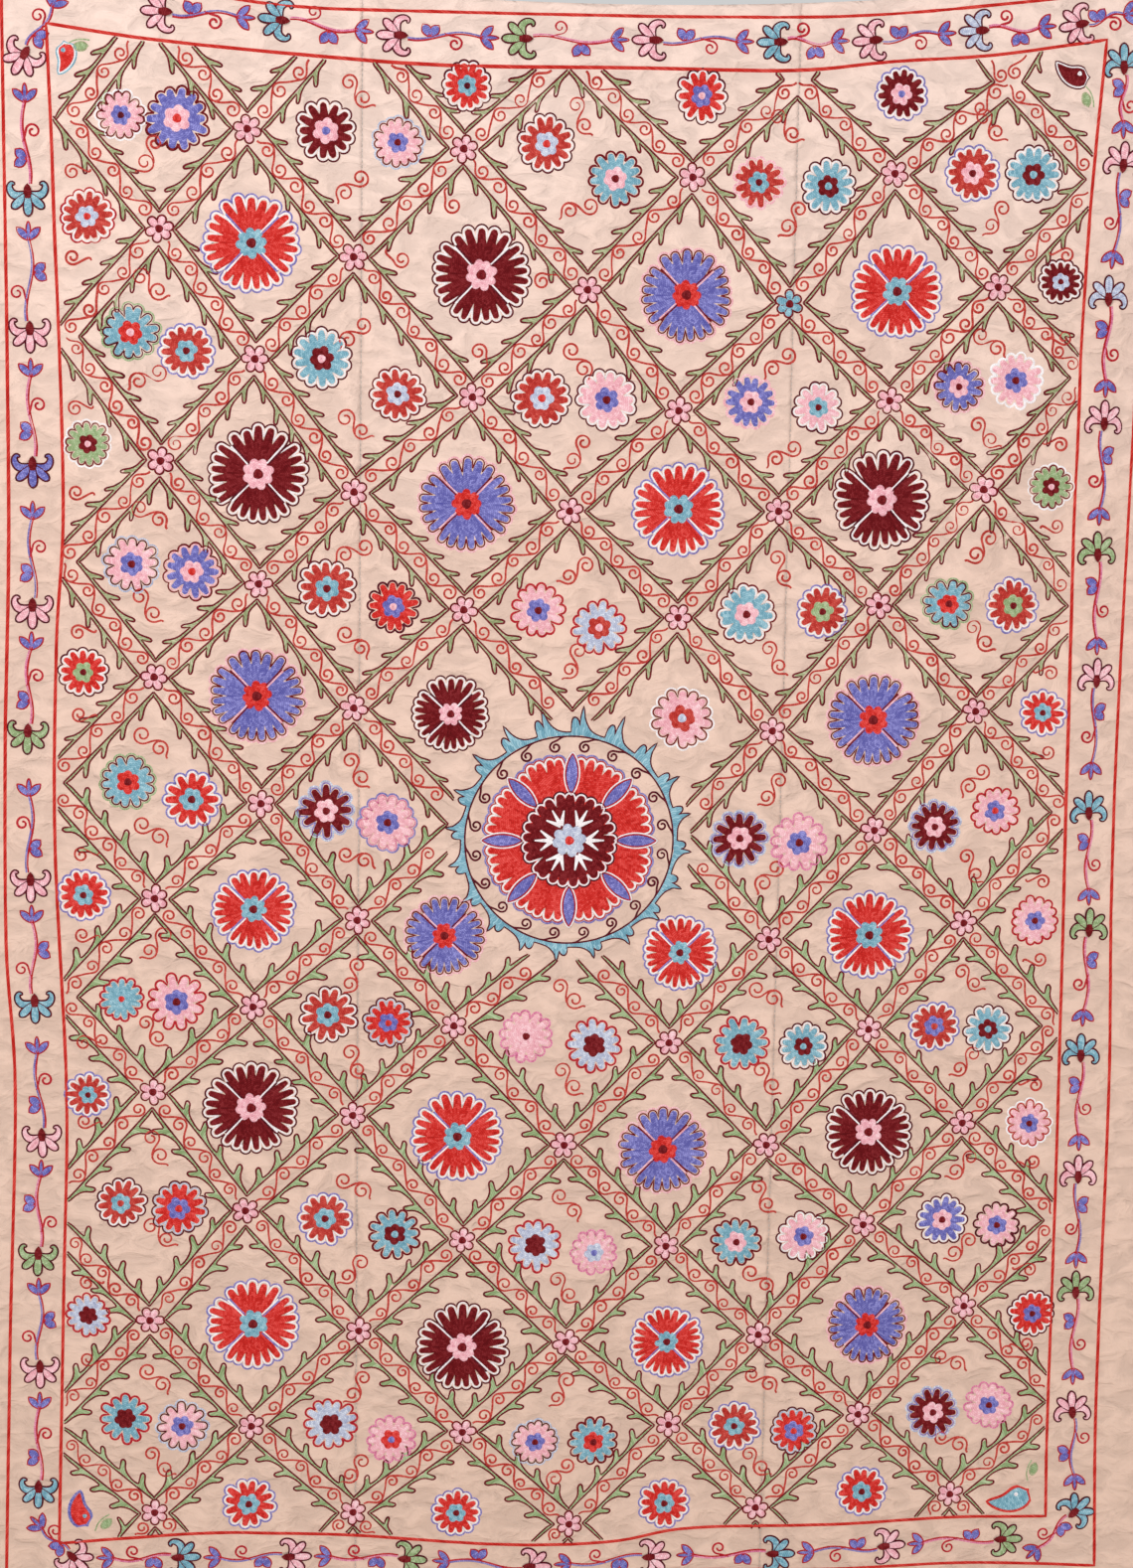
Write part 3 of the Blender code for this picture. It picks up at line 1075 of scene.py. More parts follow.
def work_vine(crossing, below):
    """The vine between two crossings, clear of their flowers or of the frame."""
    part = inside_part(lattice(*crossing), lattice(*below))
    if part is None:
        return
    upper, lower = part
    run = unit(upper - lower)
    lower = lower + run * (FLOWER_CLEAR if has_flower(*below) else FRAME_CLEAR)
    upper = upper - run * (FLOWER_CLEAR if has_flower(*crossing) else FRAME_CLEAR)
    spirals = round(float((upper - lower) @ run) / VINE_PITCH)
    start, end = (upper, lower) if in_upper_half(upper, lower) else (lower, upper)
    if spirals > 0:
        work_scroll(start, end, spirals, VINE_RADIUS, hand.choice([-1, 1]))


for row in range(-1, LAST_ROW + 1):
    for column in range(LAST_COLUMN + 1):
        for beside in (column - 1, column + 1):
            if is_crossing(column, row) and 0 <= beside <= LAST_COLUMN:
                work_vine((column, row), (beside, row + 1))
print("vines:", front["k"].count, "points")

# %% [markdown]
# ## Petals in polar form
#
# Every flower here is a ring of round-tipped fingers that widen towards the centre. The outline of one
# finger is a circle at its tip and a straight slanting line down each side. Seen from the flower's centre,
# both have a simple formula for the distance at each angle, and a ring of fingers is the largest of those
# distances. Adding to the width of every finger gives a line that runs at a steady distance outside.

# %% Petal rings
Petals = namedtuple("Petals", "angle tip width slant")


def even_petals(count, tip, width, slant, turn, uneven):
    """A ring of fingers. width is half a finger's width at its tip, and slant how its sides widen inwards."""
    angle = turn + math.tau * (np.arange(count) + hand.normal(0, 0.06, count)) / count
    return Petals(angle, tip * (1 + hand.normal(0, 1, count) * uneven), np.full(count, width), slant)


def reach(petals, angles, spare=0.0):
    """Distance from the flower's centre to its outline, at each angle."""
    off = np.abs((angles[:, None] - petals.angle[None, :] + math.pi) % math.tau - math.pi)
    width = petals.width + spare
    middle = petals.tip - petals.width
    tip = middle * np.cos(off) + np.sqrt(np.maximum(width**2 - (middle * np.sin(off)) ** 2, 0))
    side = (width + middle * math.sin(petals.slant)) / np.sin(np.clip(off + petals.slant, 0.05, math.pi / 2))
    touch = np.arctan2(width * math.cos(petals.slant), middle + width * math.sin(petals.slant))
    return np.where(off < touch, tip, side).max(axis=1)


one = Petals(np.zeros(1), np.array([18 * MM]), np.array([5 * MM]), 0.02)
print("a petal with its tip at 18 mm reaches", round(float(reach(one, np.zeros(1))[0]) / MM, 1), "mm")

# %% Stitching on petals
INNER_LINE = 1.1 * MM  # the first outline runs this far outside a filling
OUTER_LINE = 3.7 * MM  # and the second one this far
DOT_RISE = 0.4 * MM


def work_ring(letter, centre, petals, spare, samples=720, **more):
    """A closed row round a ring of petals."""
    angles = np.linspace(0, math.tau, samples + 1)
    work_row(letter, polar_line(centre, reach(petals, angles, spare), angles), closed=True, **more)


def work_petals(letter, centre, petals, inner, rows, steps, **more):
    """The filling of a ring of petals."""
    angles = np.linspace(0, math.tau, 2 * rows + 1)
    work_fan(letter, centre, inner, reach(petals, angles), angles, steps, **more)


def work_dot(letter, centre, radius, base):
    """A small, slightly uneven round filling."""
    angles = np.linspace(0, math.tau, 15)
    wobble = radius * (1 + 0.06 * np.sin(3 * angles + hand.uniform(0, 6)))
    work_fan(letter, centre, 0.3 * MM, wobble, angles, 3, rise=DOT_RISE, base=base)


print("outlines run", INNER_LINE / MM, "and", OUTER_LINE / MM, "mm outside a filling")

# %% [markdown]
# ## The flower at each crossing
#
# A small six-petalled flower covers each crossing. All are pink but one, which is pale blue.

# %% The flower at each crossing
NODE_PETALS = 6
NODE_TIP, NODE_PETAL_WIDTH = 18 * MM, 5 * MM
NODE_SLIT = [(7 * MM, 0), (12 * MM, 0)]  # a short row between two petals
BLUE_FLOWER = (7, 2)


def work_node_flower(centre, filling):
    """Six petals, each with its own outline, so that two rows meet between them."""
    petals = even_petals(NODE_PETALS, NODE_TIP, NODE_PETAL_WIDTH, slant=0.02, turn=hand.uniform(0, 1),
                         uneven=0.03)
    work_petals(filling, centre, petals, inner=2 * MM, rows=18, steps=3)
    work_ring("m", centre, petals, INNER_LINE * 0.8, samples=180)
    for angle in petals.angle + math.pi / NODE_PETALS:
        work_row("m", place(NODE_SLIT, centre, angle), width=2.0 * MM, base=0.5 * MM)
    work_dot("m", centre, 5.6 * MM, ON_FILL)


flowers = [spot for spot in places if has_flower(*spot)]
flowers = [spot for spot in flowers if np.hypot(*(lattice(*spot) - RING_CENTRE)) > RING_CLEAR]
for spot in flowers:
    work_node_flower(lattice(*spot), "t" if spot == BLUE_FLOWER else "p")
print(len(flowers), "crossings with flowers")

# %% [markdown]
# ## The rosettes
#
# A large rosette has 23 fingers in four groups, parted by an X of two rows, and a small one has 12 to 14.
# Both have a lobed flower and a dot in the middle, and one or two outlines. Their colours follow a chart:
# five letters stand for the threads of the petals, the centre, the dot, the inner and the outer outline,
# and a dash for an outline that was left out.

# %% Fingers and outlines
LARGE_TIP = 64.5 * MM
SMALL_TIP, SMALL_HALF = 35.5 * MM, 4.6 * MM  # a small rosette's reach, and half a finger's width
CENTRE_RISE = 0.35 * MM
DOT_BASE = ON_FILL + 0.55 * MM
LARGE_GROUPS = (6, 5, 6, 6)  # fingers between one slit and the next
FINGER_PITCH, FINGER_HALF = 14.2, 4.5 * MM  # a finger's half width where they lie this many degrees apart
SLIT_GAP = 5  # degrees that a slit takes of each quarter
SLIT_HALF = 1.35  # mm from the middle of a slit to each of its rows
SLIT_ENDS = (19, 52)  # mm from the rosette's centre
SLIT_BASE = 0.8 * MM
SINGLE_LINE = 1.8 * MM  # where there is only one outline, it is wider and runs this far out
Colours = namedtuple("Colours", "petals centre dot inner outer")


def large_fingers(size):
    """The 23 fingers of a large rosette, in four groups with a gap on each diagonal."""
    angles, widths = [], []
    for quarter, count in enumerate(LARGE_GROUPS):
        pitch = (90 - SLIT_GAP) / count
        for number in range(count):
            turn = 90 * quarter + (number - (count - 1) / 2) * pitch + hand.normal(0, 0.7)
            angles.append(math.radians(turn))
            widths.append(pitch / FINGER_PITCH * FINGER_HALF)
    tips = LARGE_TIP * (1 + hand.normal(0, 0.018, len(angles)))
    return Petals(np.array(angles), tips * size, np.array(widths) * size, 0.05)


def work_outlines(colours, centre, petals, samples):
    if colours.outer == "-":
        work_ring(colours.inner, centre, petals, SINGLE_LINE, samples=samples, width=3.6 * MM)
    else:
        work_ring(colours.inner, centre, petals, INNER_LINE, samples=samples, width=2.3 * MM)
        work_ring(colours.outer, centre, petals, OUTER_LINE, samples=samples, width=2.7 * MM)


def work_centre(colours, centre, size, lobes):
    """The lobed flower in the middle of a rosette, and its dot."""
    petals = even_petals(lobes, size, size * 2.2 / lobes, slant=0.02, turn=hand.uniform(0, 1), uneven=0.03)
    work_petals(colours.centre, centre, petals, inner=2 * MM, rows=lobes * 3, steps=4, base=ON_FILL,
                rise=CENTRE_RISE)
    work_dot(colours.dot, centre, size * 0.33, DOT_BASE)


print("fingers of a large rosette:", len(large_fingers(1.0).angle))

# %% Large and small rosettes


def work_large(colours, centre, size):
    """A large rosette with its X of slits."""
    petals = large_fingers(size)
    work_petals(colours.petals, centre, petals, inner=14 * MM * size, rows=round(98 * size**0.5), steps=7)
    work_outlines(colours, centre, petals, samples=1080)
    for quarter in range(4):
        angle = math.radians(45 + 90 * quarter) + hand.normal(0, 0.02)
        for letter, offset in ((colours.inner, SLIT_HALF), (colours.outer, -SLIT_HALF)):
            line = np.array([(end * size, offset) for end in SLIT_ENDS]) * MM
            work_row(letter, place(line, centre, angle), base=SLIT_BASE)
    work_centre(colours, centre, 22 * MM * size, 8)


def work_small(colours, centre, size):
    """A small rosette of about 13 fingers."""
    count = int(hand.choice([12, 13, 13, 14]))
    petals = even_petals(count, SMALL_TIP * size, SMALL_HALF * size, slant=0.04, turn=hand.uniform(0, 1),
                         uneven=0.03)
    work_petals(colours.petals, centre, petals, inner=9 * MM * size, rows=42, steps=5)
    work_outlines(colours, centre, petals, samples=540)
    work_centre(colours, centre, 16.5 * MM * size, 6)


print("a small one is", 2 * SMALL_TIP / MM, "mm across")

# %% The chart of rosettes
# For the even columns, in order: colours, mm right of and above the opening's middle, and size in %.
LARGE_CHART = [
    "..... ..... rtdwd,0,-12,84 rvpwd,20,-3,92 mpvwo,10,5,92 .....",
    "blrwc,11,-2,92 rtmwo,4,-2,100 mpmwd,21,1,103 vrmmp,4,-2,98 rtmwo,11,6,97 mlmwd,1,20,78",
    "gmpmw,8,9,82 mpmwd,12,2,103 vrmmp,3,-1,100 rtmwo,-2,3,98 mpmwd,-4,1,103 gmpmw,-3,-2,82",
    "rgmwd,-2,2,88 vrmmp,9,-3,100 mpmwd,-17,7,80 pblmw,8,14,66 vrmmp,-6,2,100 rtmwo,-1,0,84",
    "rtmwo,-6,0,92 rtmwo,3,2,87 vrmmp,-24,-6,86 rtmwo,11,-22,80 rtmwo,-3,-8,94 pvmc-,-1,0,92",
    "btmwo,-3,-18,80 mpmwd,-1,0,101 rtmwo,-4,-2,98 vrmmp,-8,-8,98 mpmwd,4,6,96 pvmcw,1,0,88",
    "lmmc-,-7,9,84 rtmwo,0,9,100 mpmwd,5,-8,100 rtmwo,3,-6,80 vrmmp,10,-2,88 rvmwd,15,-10,88",
    "..... rtmwo,-7,6,100 rtmwo,-2,-8,92 rtmwo,4,-4,98 rtmwo,9,5,96 .....",
]
PAIR_CHART = [  # for the odd columns, in order, the left and the right one of each pair, in the same way
    "pvdmw,-35,-13,88 vprm-,39,-15,118 mpvwd,-38,10,110 pvmml,58,-3,92 blrwd,-44,24,104 tpmm-,50,-20,104 "
    "btmp-,-37,-13,96 tmtwd,59,-16,100 bpmwo,-31,-2,100 tmtwd,54,-2,104",
    "trpdg,-25,-2,104 btmwo,49,-25,98 tmpwd,-44,27,108 blmwm,59,-19,100 blrwd,-47,11,108 pvmwd,42,10,112 "
    "vpmp-,-42,9,100 ptmwd,52,3,92 vpmmp,-42,1,96 pvmw-,38,11,104",
    "pvmdl,-27,-5,104 vprpm,55,-14,104 btmwd,-37,12,108 rvpd-,54,-12,100 pvmc-,-49,8,104 lbpc-,36,-15,106 "
    "tpmwm,-42,-1,110 bgmwo,64,4,98 trmdg,-48,-17,96 bgmwo,45,-19,100",
    "trmdg,-35,8,104 rtmwo,52,-16,108 mpmol,-38,5,106 pvmuo,47,-11,108 ..... ..... "
    "mpmol,-45,-7,110 pvmu-,40,-13,112 mpmol,-56,-4,100 pvrc-,31,19,96",
    "ttrc-,-47,-15,84 pvmc-,29,-19,112 btmwd,-36,7,108 rvrld,49,-5,92 ppmu-,-60,2,104 lmmc-,37,-12,108 "
    "tmmc-,-36,-10,108 tmtwd,53,-14,92 bvbwo,-48,-7,98 tmtwd,32,-13,96",
    "btbwd,-51,-16,94 rvrld,30,-25,104 btmwo,-40,16,104 tmtm-,59,-8,102 lmmc-,-44,4,104 plvu-,41,-9,92 "
    "tpmm-,-37,-5,100 pvmwd,60,3,98 vpmwd,-26,-19,100 pvmd-,55,-28,92",
    "tmmc-,-48,3,100 pvmdl,32,-9,100 lmmc-,-32,8,106 prvu-,55,-17,98 pvmdl,-41,-14,92 trmm-,44,-17,100 "
    "btmwo,-34,-7,98 rvrld,53,-14,94 mpmol,-30,-16,104 pvmu-,53,-6,96",
]
print(len(LARGE_CHART), "rows of large rosettes and", len(PAIR_CHART), "of pairs")

# %% Work the rosettes
SIDE_OPENINGS = {0: (-0.673, -0.023), LAST_COLUMN: (0.667, -0.018)}  # x, and rise above the row
TOP_HALF_DROP = 0.058
BOTTOM_HALF_RISE = 0.012
CHART_SIZE = 0.97  # the sizes in the charts were read across the outlines
SMALL_BELOW, SMALL_FOR_LARGE = 0.7, 1.75  # a place with less than 70 % has a small rosette, drawn larger


def opening_place(column, row):
    """Where the rosette of a large opening stands. The frame cuts those at the sides in half."""
    x, z = lattice(column, row)
    if column in SIDE_OPENINGS:
        x, rise = SIDE_OPENINGS[column]
    else:
        rise = {0: -TOP_HALF_DROP, LAST_ROW - 1: BOTTOM_HALF_RISE}.get(row, 0.0)
    return np.array([x, z + rise])


def chart_words(chart):
    """The line and number of each word of a chart, with its colours, its shift and its size."""
    for line, words in enumerate(chart):
        for number, word in enumerate(words.split()):
            if not word.startswith("."):
                letters, *numbers = word.split(",")
                right, up, percent = (float(each) for each in numbers)
                yield line, number, Colours(*letters), np.array([right, up]) * MM, percent / 100


counts = {"large": 0, "small": 0}
for line, number, colours, shift, size in chart_words(LARGE_CHART):
    column, row = 2 * number, 2 * line
    spot = opening_place(column, row) + shift
    cut = column in SIDE_OPENINGS or row in (0, LAST_ROW - 1)
    if cut or size < SMALL_BELOW:
        work_small(colours, spot, size if cut else size * SMALL_FOR_LARGE)
        counts["small"] += 1
    else:
        work_large(colours, spot, size * CHART_SIZE)
        counts["large"] += 1
for line, number, colours, shift, size in chart_words(PAIR_CHART):
    work_small(colours, lattice(2 * (number // 2) + 1, 2 * line + 1) + shift, size * CHART_SIZE)
    counts["small"] += 1
print("rosettes:", counts)

# %% [markdown]
# ## Curls in the openings
#
# A pair of small rosettes leaves room above and below, which a loose scroll of two coral spirals fills.

# %% Curls above and below each pair
CURL_RADIUS = 11.5 * MM
CURL_HALF = 30 * MM  # half the length of a scroll of two curls
CURL_OFFSET = 62 * MM
pairs = [(c, r) for c, r in openings if c % 2 == 1 and (c, r) != RING_OPENING and r < LAST_ROW]
for column, row in pairs:
    for side in (-1, 1):
        middle = lattice(column, row) + np.array([hand.normal(0, 3 * MM), side * CURL_OFFSET])
        angle = math.pi / 2 + hand.choice([-1, 1]) * hand.uniform(0.5, 1.1)
        half = CURL_HALF * np.array([math.cos(angle), math.sin(angle)])
        if in_field(middle[None] + half, margin=12 * MM).all():
            work_scroll(middle - half, middle + half * 0.9, 2, CURL_RADIUS, hand.choice([-1, 1]))
print("curls round", len(pairs), "pairs")

# %% Single curls at the sides, and in the corners of one large opening
SIDE_CURL_RADIUS, CORNER_CURL_RADIUS = 10 * MM, 11 * MM
SIDE_CURL_SHIFT = np.array([-8, 56]) * MM  # inwards, and up or down, from the opening's rosette
SIDE_CURL_START = np.array([24, 4]) * MM  # the same, from the curl's centre
CORNER_OPENING = (4, 2)
CORNER_CURLS = [(-87, 20, 2.6), (104, -6, 0.2), (-18, 93, 1.9), (18, -102, -1.2)]  # mm right and up, and turn
for row in range(2, LAST_ROW - 1, 2):
    for column, inward in ((0, 1), (LAST_COLUMN, -1)):
        for side in (-1, 1):
            spot = opening_place(column, row) + SIDE_CURL_SHIFT * (inward, side)
            start = spot + SIDE_CURL_START * (inward, side)
            line = curl(start, np.array([0, -side]), spot, SIDE_CURL_RADIUS, inward * side)
            work_row("k", line, width=VINE_WIDTH)
for right, up, turn in CORNER_CURLS:
    spot = lattice(*CORNER_OPENING) + np.array([right, up]) * MM
    start, heading = place([(24 * MM, 0)], spot, turn)[0], place([(0, 1)], (0, 0), turn)[0]
    work_row("k", curl(start, heading, spot, CORNER_CURL_RADIUS, 1), width=VINE_WIDTH)
print(len(CORNER_CURLS), "single curls in the corners of opening", CORNER_OPENING)

# %% [markdown]
# ## The medallion
#
# The middle of the cloth holds a round flower: eight groups of scarlet scallops, parted by blue-violet
# lens-shaped petals, round a maroon disc with six white sprays. A teal garland of lobed leaves rings it.

# %% The medallion's flower
SCALLOP_GROUPS = 8
SCALLOP_PITCH = 7.2  # degrees between the five scallops of a group
THIN_ROW = 2.0 * MM
WHITE_ROW = 2.4 * MM


def lens(length_from, length_to, half_width, angle):
    """The spine and widths of a pointed leaf that lies on a line through the medallion's centre."""
    share = np.linspace(0, 1, 10)
    spine = place(ahead(length_from + (length_to - length_from) * share), RING_CENTRE, angle)
    return spine, half_width * np.sin(math.pi * share) ** 0.75


angles, tips = [], []
for group in range(SCALLOP_GROUPS):
    for step in range(-2, 3):
        turn = 45 * group + 22.5 + step * SCALLOP_PITCH
        angles.append(math.radians(turn + hand.normal(0, 0.4)))
        tips.append((117 - 0.5 * step**2 + hand.normal(0, 1.2)) * MM)
scallops = Petals(np.array(angles), np.array(tips), np.full(len(tips), 4.8 * MM), 0.15)
work_petals("r", RING_CENTRE, scallops, inner=52 * MM, rows=200, steps=10)
work_ring("w", RING_CENTRE, scallops, INNER_LINE, samples=1440, width=WHITE_ROW)
work_ring("c", RING_CENTRE, scallops, OUTER_LINE - 0.5 * MM, samples=1440, width=THIN_ROW)
work_ring("o", RING_CENTRE, scallops, OUTER_LINE + 1.9 * MM, samples=1440)
for group in range(SCALLOP_GROUPS):
    spine, widths = lens(67 * MM, 121 * MM, 7.6 * MM, math.radians(45 * group) + hand.normal(0, 0.015))
    work_leaf("v", spine, widths, rows=6, base=ON_FILL, rise=0.5 * MM)
    for letter, spare in (("c", 1.2 * MM), ("w", 3.2 * MM)):
        work_row(letter, outline_of(spine, widths, spare), base=ON_FILL, closed=True, width=THIN_ROW)
print(len(tips), "scallops")

# %% The medallion's disc, with its white sprays
SPRAYS = 6
SPRAY_LEAVES = ((-0.70, 22), (0.0, 25), (0.70, 22))  # turn, and length in mm
disc = even_petals(25, 65.5 * MM, 5.9 * MM, slant=0.06, turn=0.05, uneven=0.008)
work_petals("m", RING_CENTRE, disc, inner=20 * MM, rows=104, steps=7, base=ON_FILL)
for letter, spare in (("w", INNER_LINE), ("d", OUTER_LINE - 0.4 * MM)):
    work_ring(letter, RING_CENTRE, disc, spare, base=ON_FILL, samples=1440, width=WHITE_ROW)
share = np.linspace(0, 1, 7)
for number in range(SPRAYS):
    turn = math.tau / SPRAYS * number
    root = place([(24 * MM, 0)], RING_CENTRE, turn)[0]
    for fan, size in SPRAY_LEAVES:
        spine = place(ahead(share * size) * MM, root, turn + fan)
        work_leaf("w", spine, (3.5 - 2.5 * share) * MM, rows=1, base=2 * ON_FILL)
silver = even_petals(8, 24 * MM, 6.6 * MM, slant=0.02, turn=0.2, uneven=0.01)
work_petals("l", RING_CENTRE, silver, inner=3 * MM, rows=32, steps=5, base=2 * ON_FILL)
work_dot("r", RING_CENTRE, 6.5 * MM, 3 * ON_FILL)
print(SPRAYS, "sprays of", len(SPRAY_LEAVES), "leaves")

# %% The garland's outline
GARLAND_UNITS = 20
GARLAND_BAND = 5.2  # mm, where the band is thinnest
GARLAND_FILLING = np.array([-0.1, 0.8, 0.6, 0.8, -0.1]) * MM  # its height, from the ring outwards
Garland = namedtuple("Garland", "degrees out")  # each unit is a pointed leaf and a round lobe before it
GARLAND = [
    Garland(0.0, 5.2), Garland(4.5, 5.8), Garland(7.5, 8.0), Garland(9.8, 12.5), Garland(11.4, 18.5),
    Garland(12.4, 27.5), Garland(13.2, 18.0), Garland(13.3, 11.0), Garland(14.0, 14.5), Garland(15.2, 17.5),
    Garland(16.6, 17.0), Garland(17.4, 13.0), Garland(17.5, 7.5),
]
edge = []
for number in range(GARLAND_UNITS):
    for step in GARLAND:
        angle = math.radians(360 / GARLAND_UNITS * number + step.degrees)
        up = math.sin(angle)
        tall = 1.0 + 0.75 * max(0.0, up) ** 2 - 0.08 * max(0.0, -up)  # the upper leaves are the tallest
        edge.append((angle, GARLAND_BAND + (step.out - GARLAND_BAND) * tall * (1 + hand.normal(0, 0.03))))
edge.append((edge[0][0] + math.tau, edge[0][1]))
print("the garland's outline has", len(edge), "points")

# %% Work the garland ring
GARLAND_CURL = 8 * MM
GARLAND_CURL_TURN = 0.115  # radians from a curl's start to its centre
garland_angles, heights = smooth(edge, 2).T
outer_line = polar_line(RING_CENTRE, RING_RADIUS + heights * MM, garland_angles)
ring_line = polar_line(RING_CENTRE, np.full(len(garland_angles), RING_RADIUS), garland_angles)
flat = between_lines(ring_line, outer_line, len(GARLAND_FILLING))
along = (garland_angles * RING_RADIUS)[:, None]
front["t"].add("t", flat, GARLAND_FILLING, along, np.arange(len(GARLAND_FILLING)) / 2)
work_row("d", outer_line, tolerance=0.05 * MM, width=2.8 * MM)
ring_angles = np.linspace(0, math.tau, 181)
work_row("d", polar_line(RING_CENTRE, RING_RADIUS - 0.5 * MM, ring_angles), closed=True)
for number in range(GARLAND_UNITS):
    turn = math.tau * (number + 0.5) / GARLAND_UNITS
    start = polar_line(RING_CENTRE, RING_RADIUS - 0.6 * MM, turn - GARLAND_CURL_TURN)
    centre = polar_line(RING_CENTRE, RING_RADIUS - 14.5 * MM, turn)
    heading = place([(0, 1)], (0, 0), turn - GARLAND_CURL_TURN)[0]
    work_row("d", curl(start, heading, centre, GARLAND_CURL, 1), width=VINE_WIDTH)
print("medallion done, maroon has", front["m"].count, "points")

# %% [markdown]
# ## The border
#
# The border is a running line of sprigs. Each starts with a three-lobed bud, has a stem in two colours with
# a heart-shaped leaf on one side and a small spiral on the other, and ends in a flower head of three
# rounded petals and two that curl back like hooks. The sprigs run anticlockwise round the cloth.
#
# A petal's outline is laid first and low, and the fillings of all petals go over it, so that only the
# outline of the whole head stays in sight.

# %% Outlined leaves
HEAD_PETALS = [  # bend points of each spine in mm, forwards and sideways, and the half width there
    [(-1, 3, 2.6), (1, 11, 4.0), (0, 18, 4.2), (-5, 22.5, 3.4), (-11, 23.5, 2.4), (-15, 21, 1.4),
     (-14, 17.5, 0.6)],
    [(1, 3, 2.4), (6, 8.5, 4.0), (11, 13.5, 4.6), (15, 18, 3.6), (17, 20.5, 1.2)],
    [(2, 0, 2.4), (10, 0, 4.4), (18, 0, 4.8), (23.5, 0, 3.8), (27, 0, 1.2)],
]
# Each lobe: its turn, then its length and half width in mm
BUD_LOBES = [(0.80, 21.0, 4.0), (-0.80, 21.0, 4.0), (0.0, 22.0, 2.0)]
HEART_LOBES = [(0.66, 17.0, 5.4), (-0.66, 17.0, 5.4)]


def outlined_leaf(fill, line, spine, widths, rows=2, line_width=2.8 * MM, base=0.0):
    work_leaf(fill, spine, widths, rows=rows, base=base)
    work_row(line, outline_of(spine, widths, 1.1 * MM), width=line_width, closed=True, base=base + 0.1 * MM)


def lobe(length, fatness):
    """The spine and widths of a rounded leaf."""
    share = np.linspace(0, 1, 7)
    return ahead(length * share), fatness * np.sin(math.pi * (0.10 + 0.90 * share) ** 1.2) ** 0.7


def work_lobes(lobes, root, turn):
    """A few violet lobes that spread from one root."""
    for spread, size, fatness in lobes:
        spine, widths = lobe(size * MM, fatness * MM)
        outlined_leaf("v", "c", place(spine, root, turn + spread), widths, line_width=2.3 * MM)


print("a flower head is", HEAD_PETALS[2][-1][0] - HEAD_PETALS[0][5][0], "mm long")

# %% One sprig
SPRIG_LENGTH = 131.0  # mm, as all measures of a sprig
STEM_SWAY = 5.0
STEM_ROW = 2.8 * MM  # width of each of the stem's two rows
STEM_SIDE = (0, 1.3 * MM)  # from the stem's middle to each row
NEAR, FAR_BACK = 0.36, 0.60  # shares of the stem, back from the head, where a leaf or a curl springs
LEAF_TURN = 1.65
STEM_CURL = 9.5 * MM


def work_head(colour, head, angle):
    """Three rounded petals, two that curl back, and a maroon seed."""
    for number, chart in enumerate(HEAD_PETALS):
        for mirror in (1, -1) if number < 2 else (1,):
            spine = smooth(chart, 3) * MM
            bent = place(spine[:, :2], head, angle, mirror)
            outlined_leaf(colour, "d", bent, spine[:, 2], rows=3, base=number * 0.35 * MM)
    seed, seed_widths = lobe(22 * MM, 5.4 * MM)
    work_leaf("m", place((7 * MM, 0) - seed * (1, -1), head, angle), seed_widths, base=1.1 * MM)


def work_sprig(colour, head, angle, length, leaf_side, leaf_first):
    """One sprig. head is the place of its flower's seed and angle the direction in which it grows."""
    share = np.linspace(0, 1, 24)
    stem_x = 8 - length + (length - 22) * share
    stem_y = STEM_SWAY * leaf_side * np.sin(math.tau * share * 0.85)
    stem = np.stack([stem_x, stem_y], -1) * MM
    work_row("c", place(stem + STEM_SIDE, head, angle), width=STEM_ROW)
    work_row("o" if colour == "p" else "u", place(stem - STEM_SIDE, head, angle), width=STEM_ROW)
    work_head(colour, head, angle)
    work_lobes(BUD_LOBES, place([((9 - length) * MM, 0)], head, angle)[0], angle + math.pi)

    def beside_stem(back, forwards, sideways):
        """A place in mm from the stem's point that lies back from the head by a share of its length."""
        along = -length * back
        sway = float(np.interp(along, stem_x, stem_y))
        return place([((along + forwards) * MM, (sway + sideways) * MM)], head, angle)[0]

    leaf_back, curl_back = (FAR_BACK, NEAR) if leaf_first else (NEAR, FAR_BACK)
    work_lobes(HEART_LOBES, beside_stem(leaf_back, 0, leaf_side * 4), angle + leaf_side * LEAF_TURN)
    start, centre = beside_stem(curl_back, 10, 0), beside_stem(curl_back, -4, -leaf_side * 13.5)
    heading = unit(place([(-1, -leaf_side * 0.3)], (0, 0), angle)[0])
    work_row("c", curl(start, heading, centre, STEM_CURL, leaf_side, turns=1.25), width=VINE_WIDTH)


print("a sprig is at most", SPRIG_LENGTH, "mm long")

# %% The sprigs of the border
HEAD_AND_GAP = 46.0  # mm that the head before and a gap take of the way from seed to seed
Run = namedtuple("Run", "start sprigs")  # start is where the head before the first one would stand, in mm
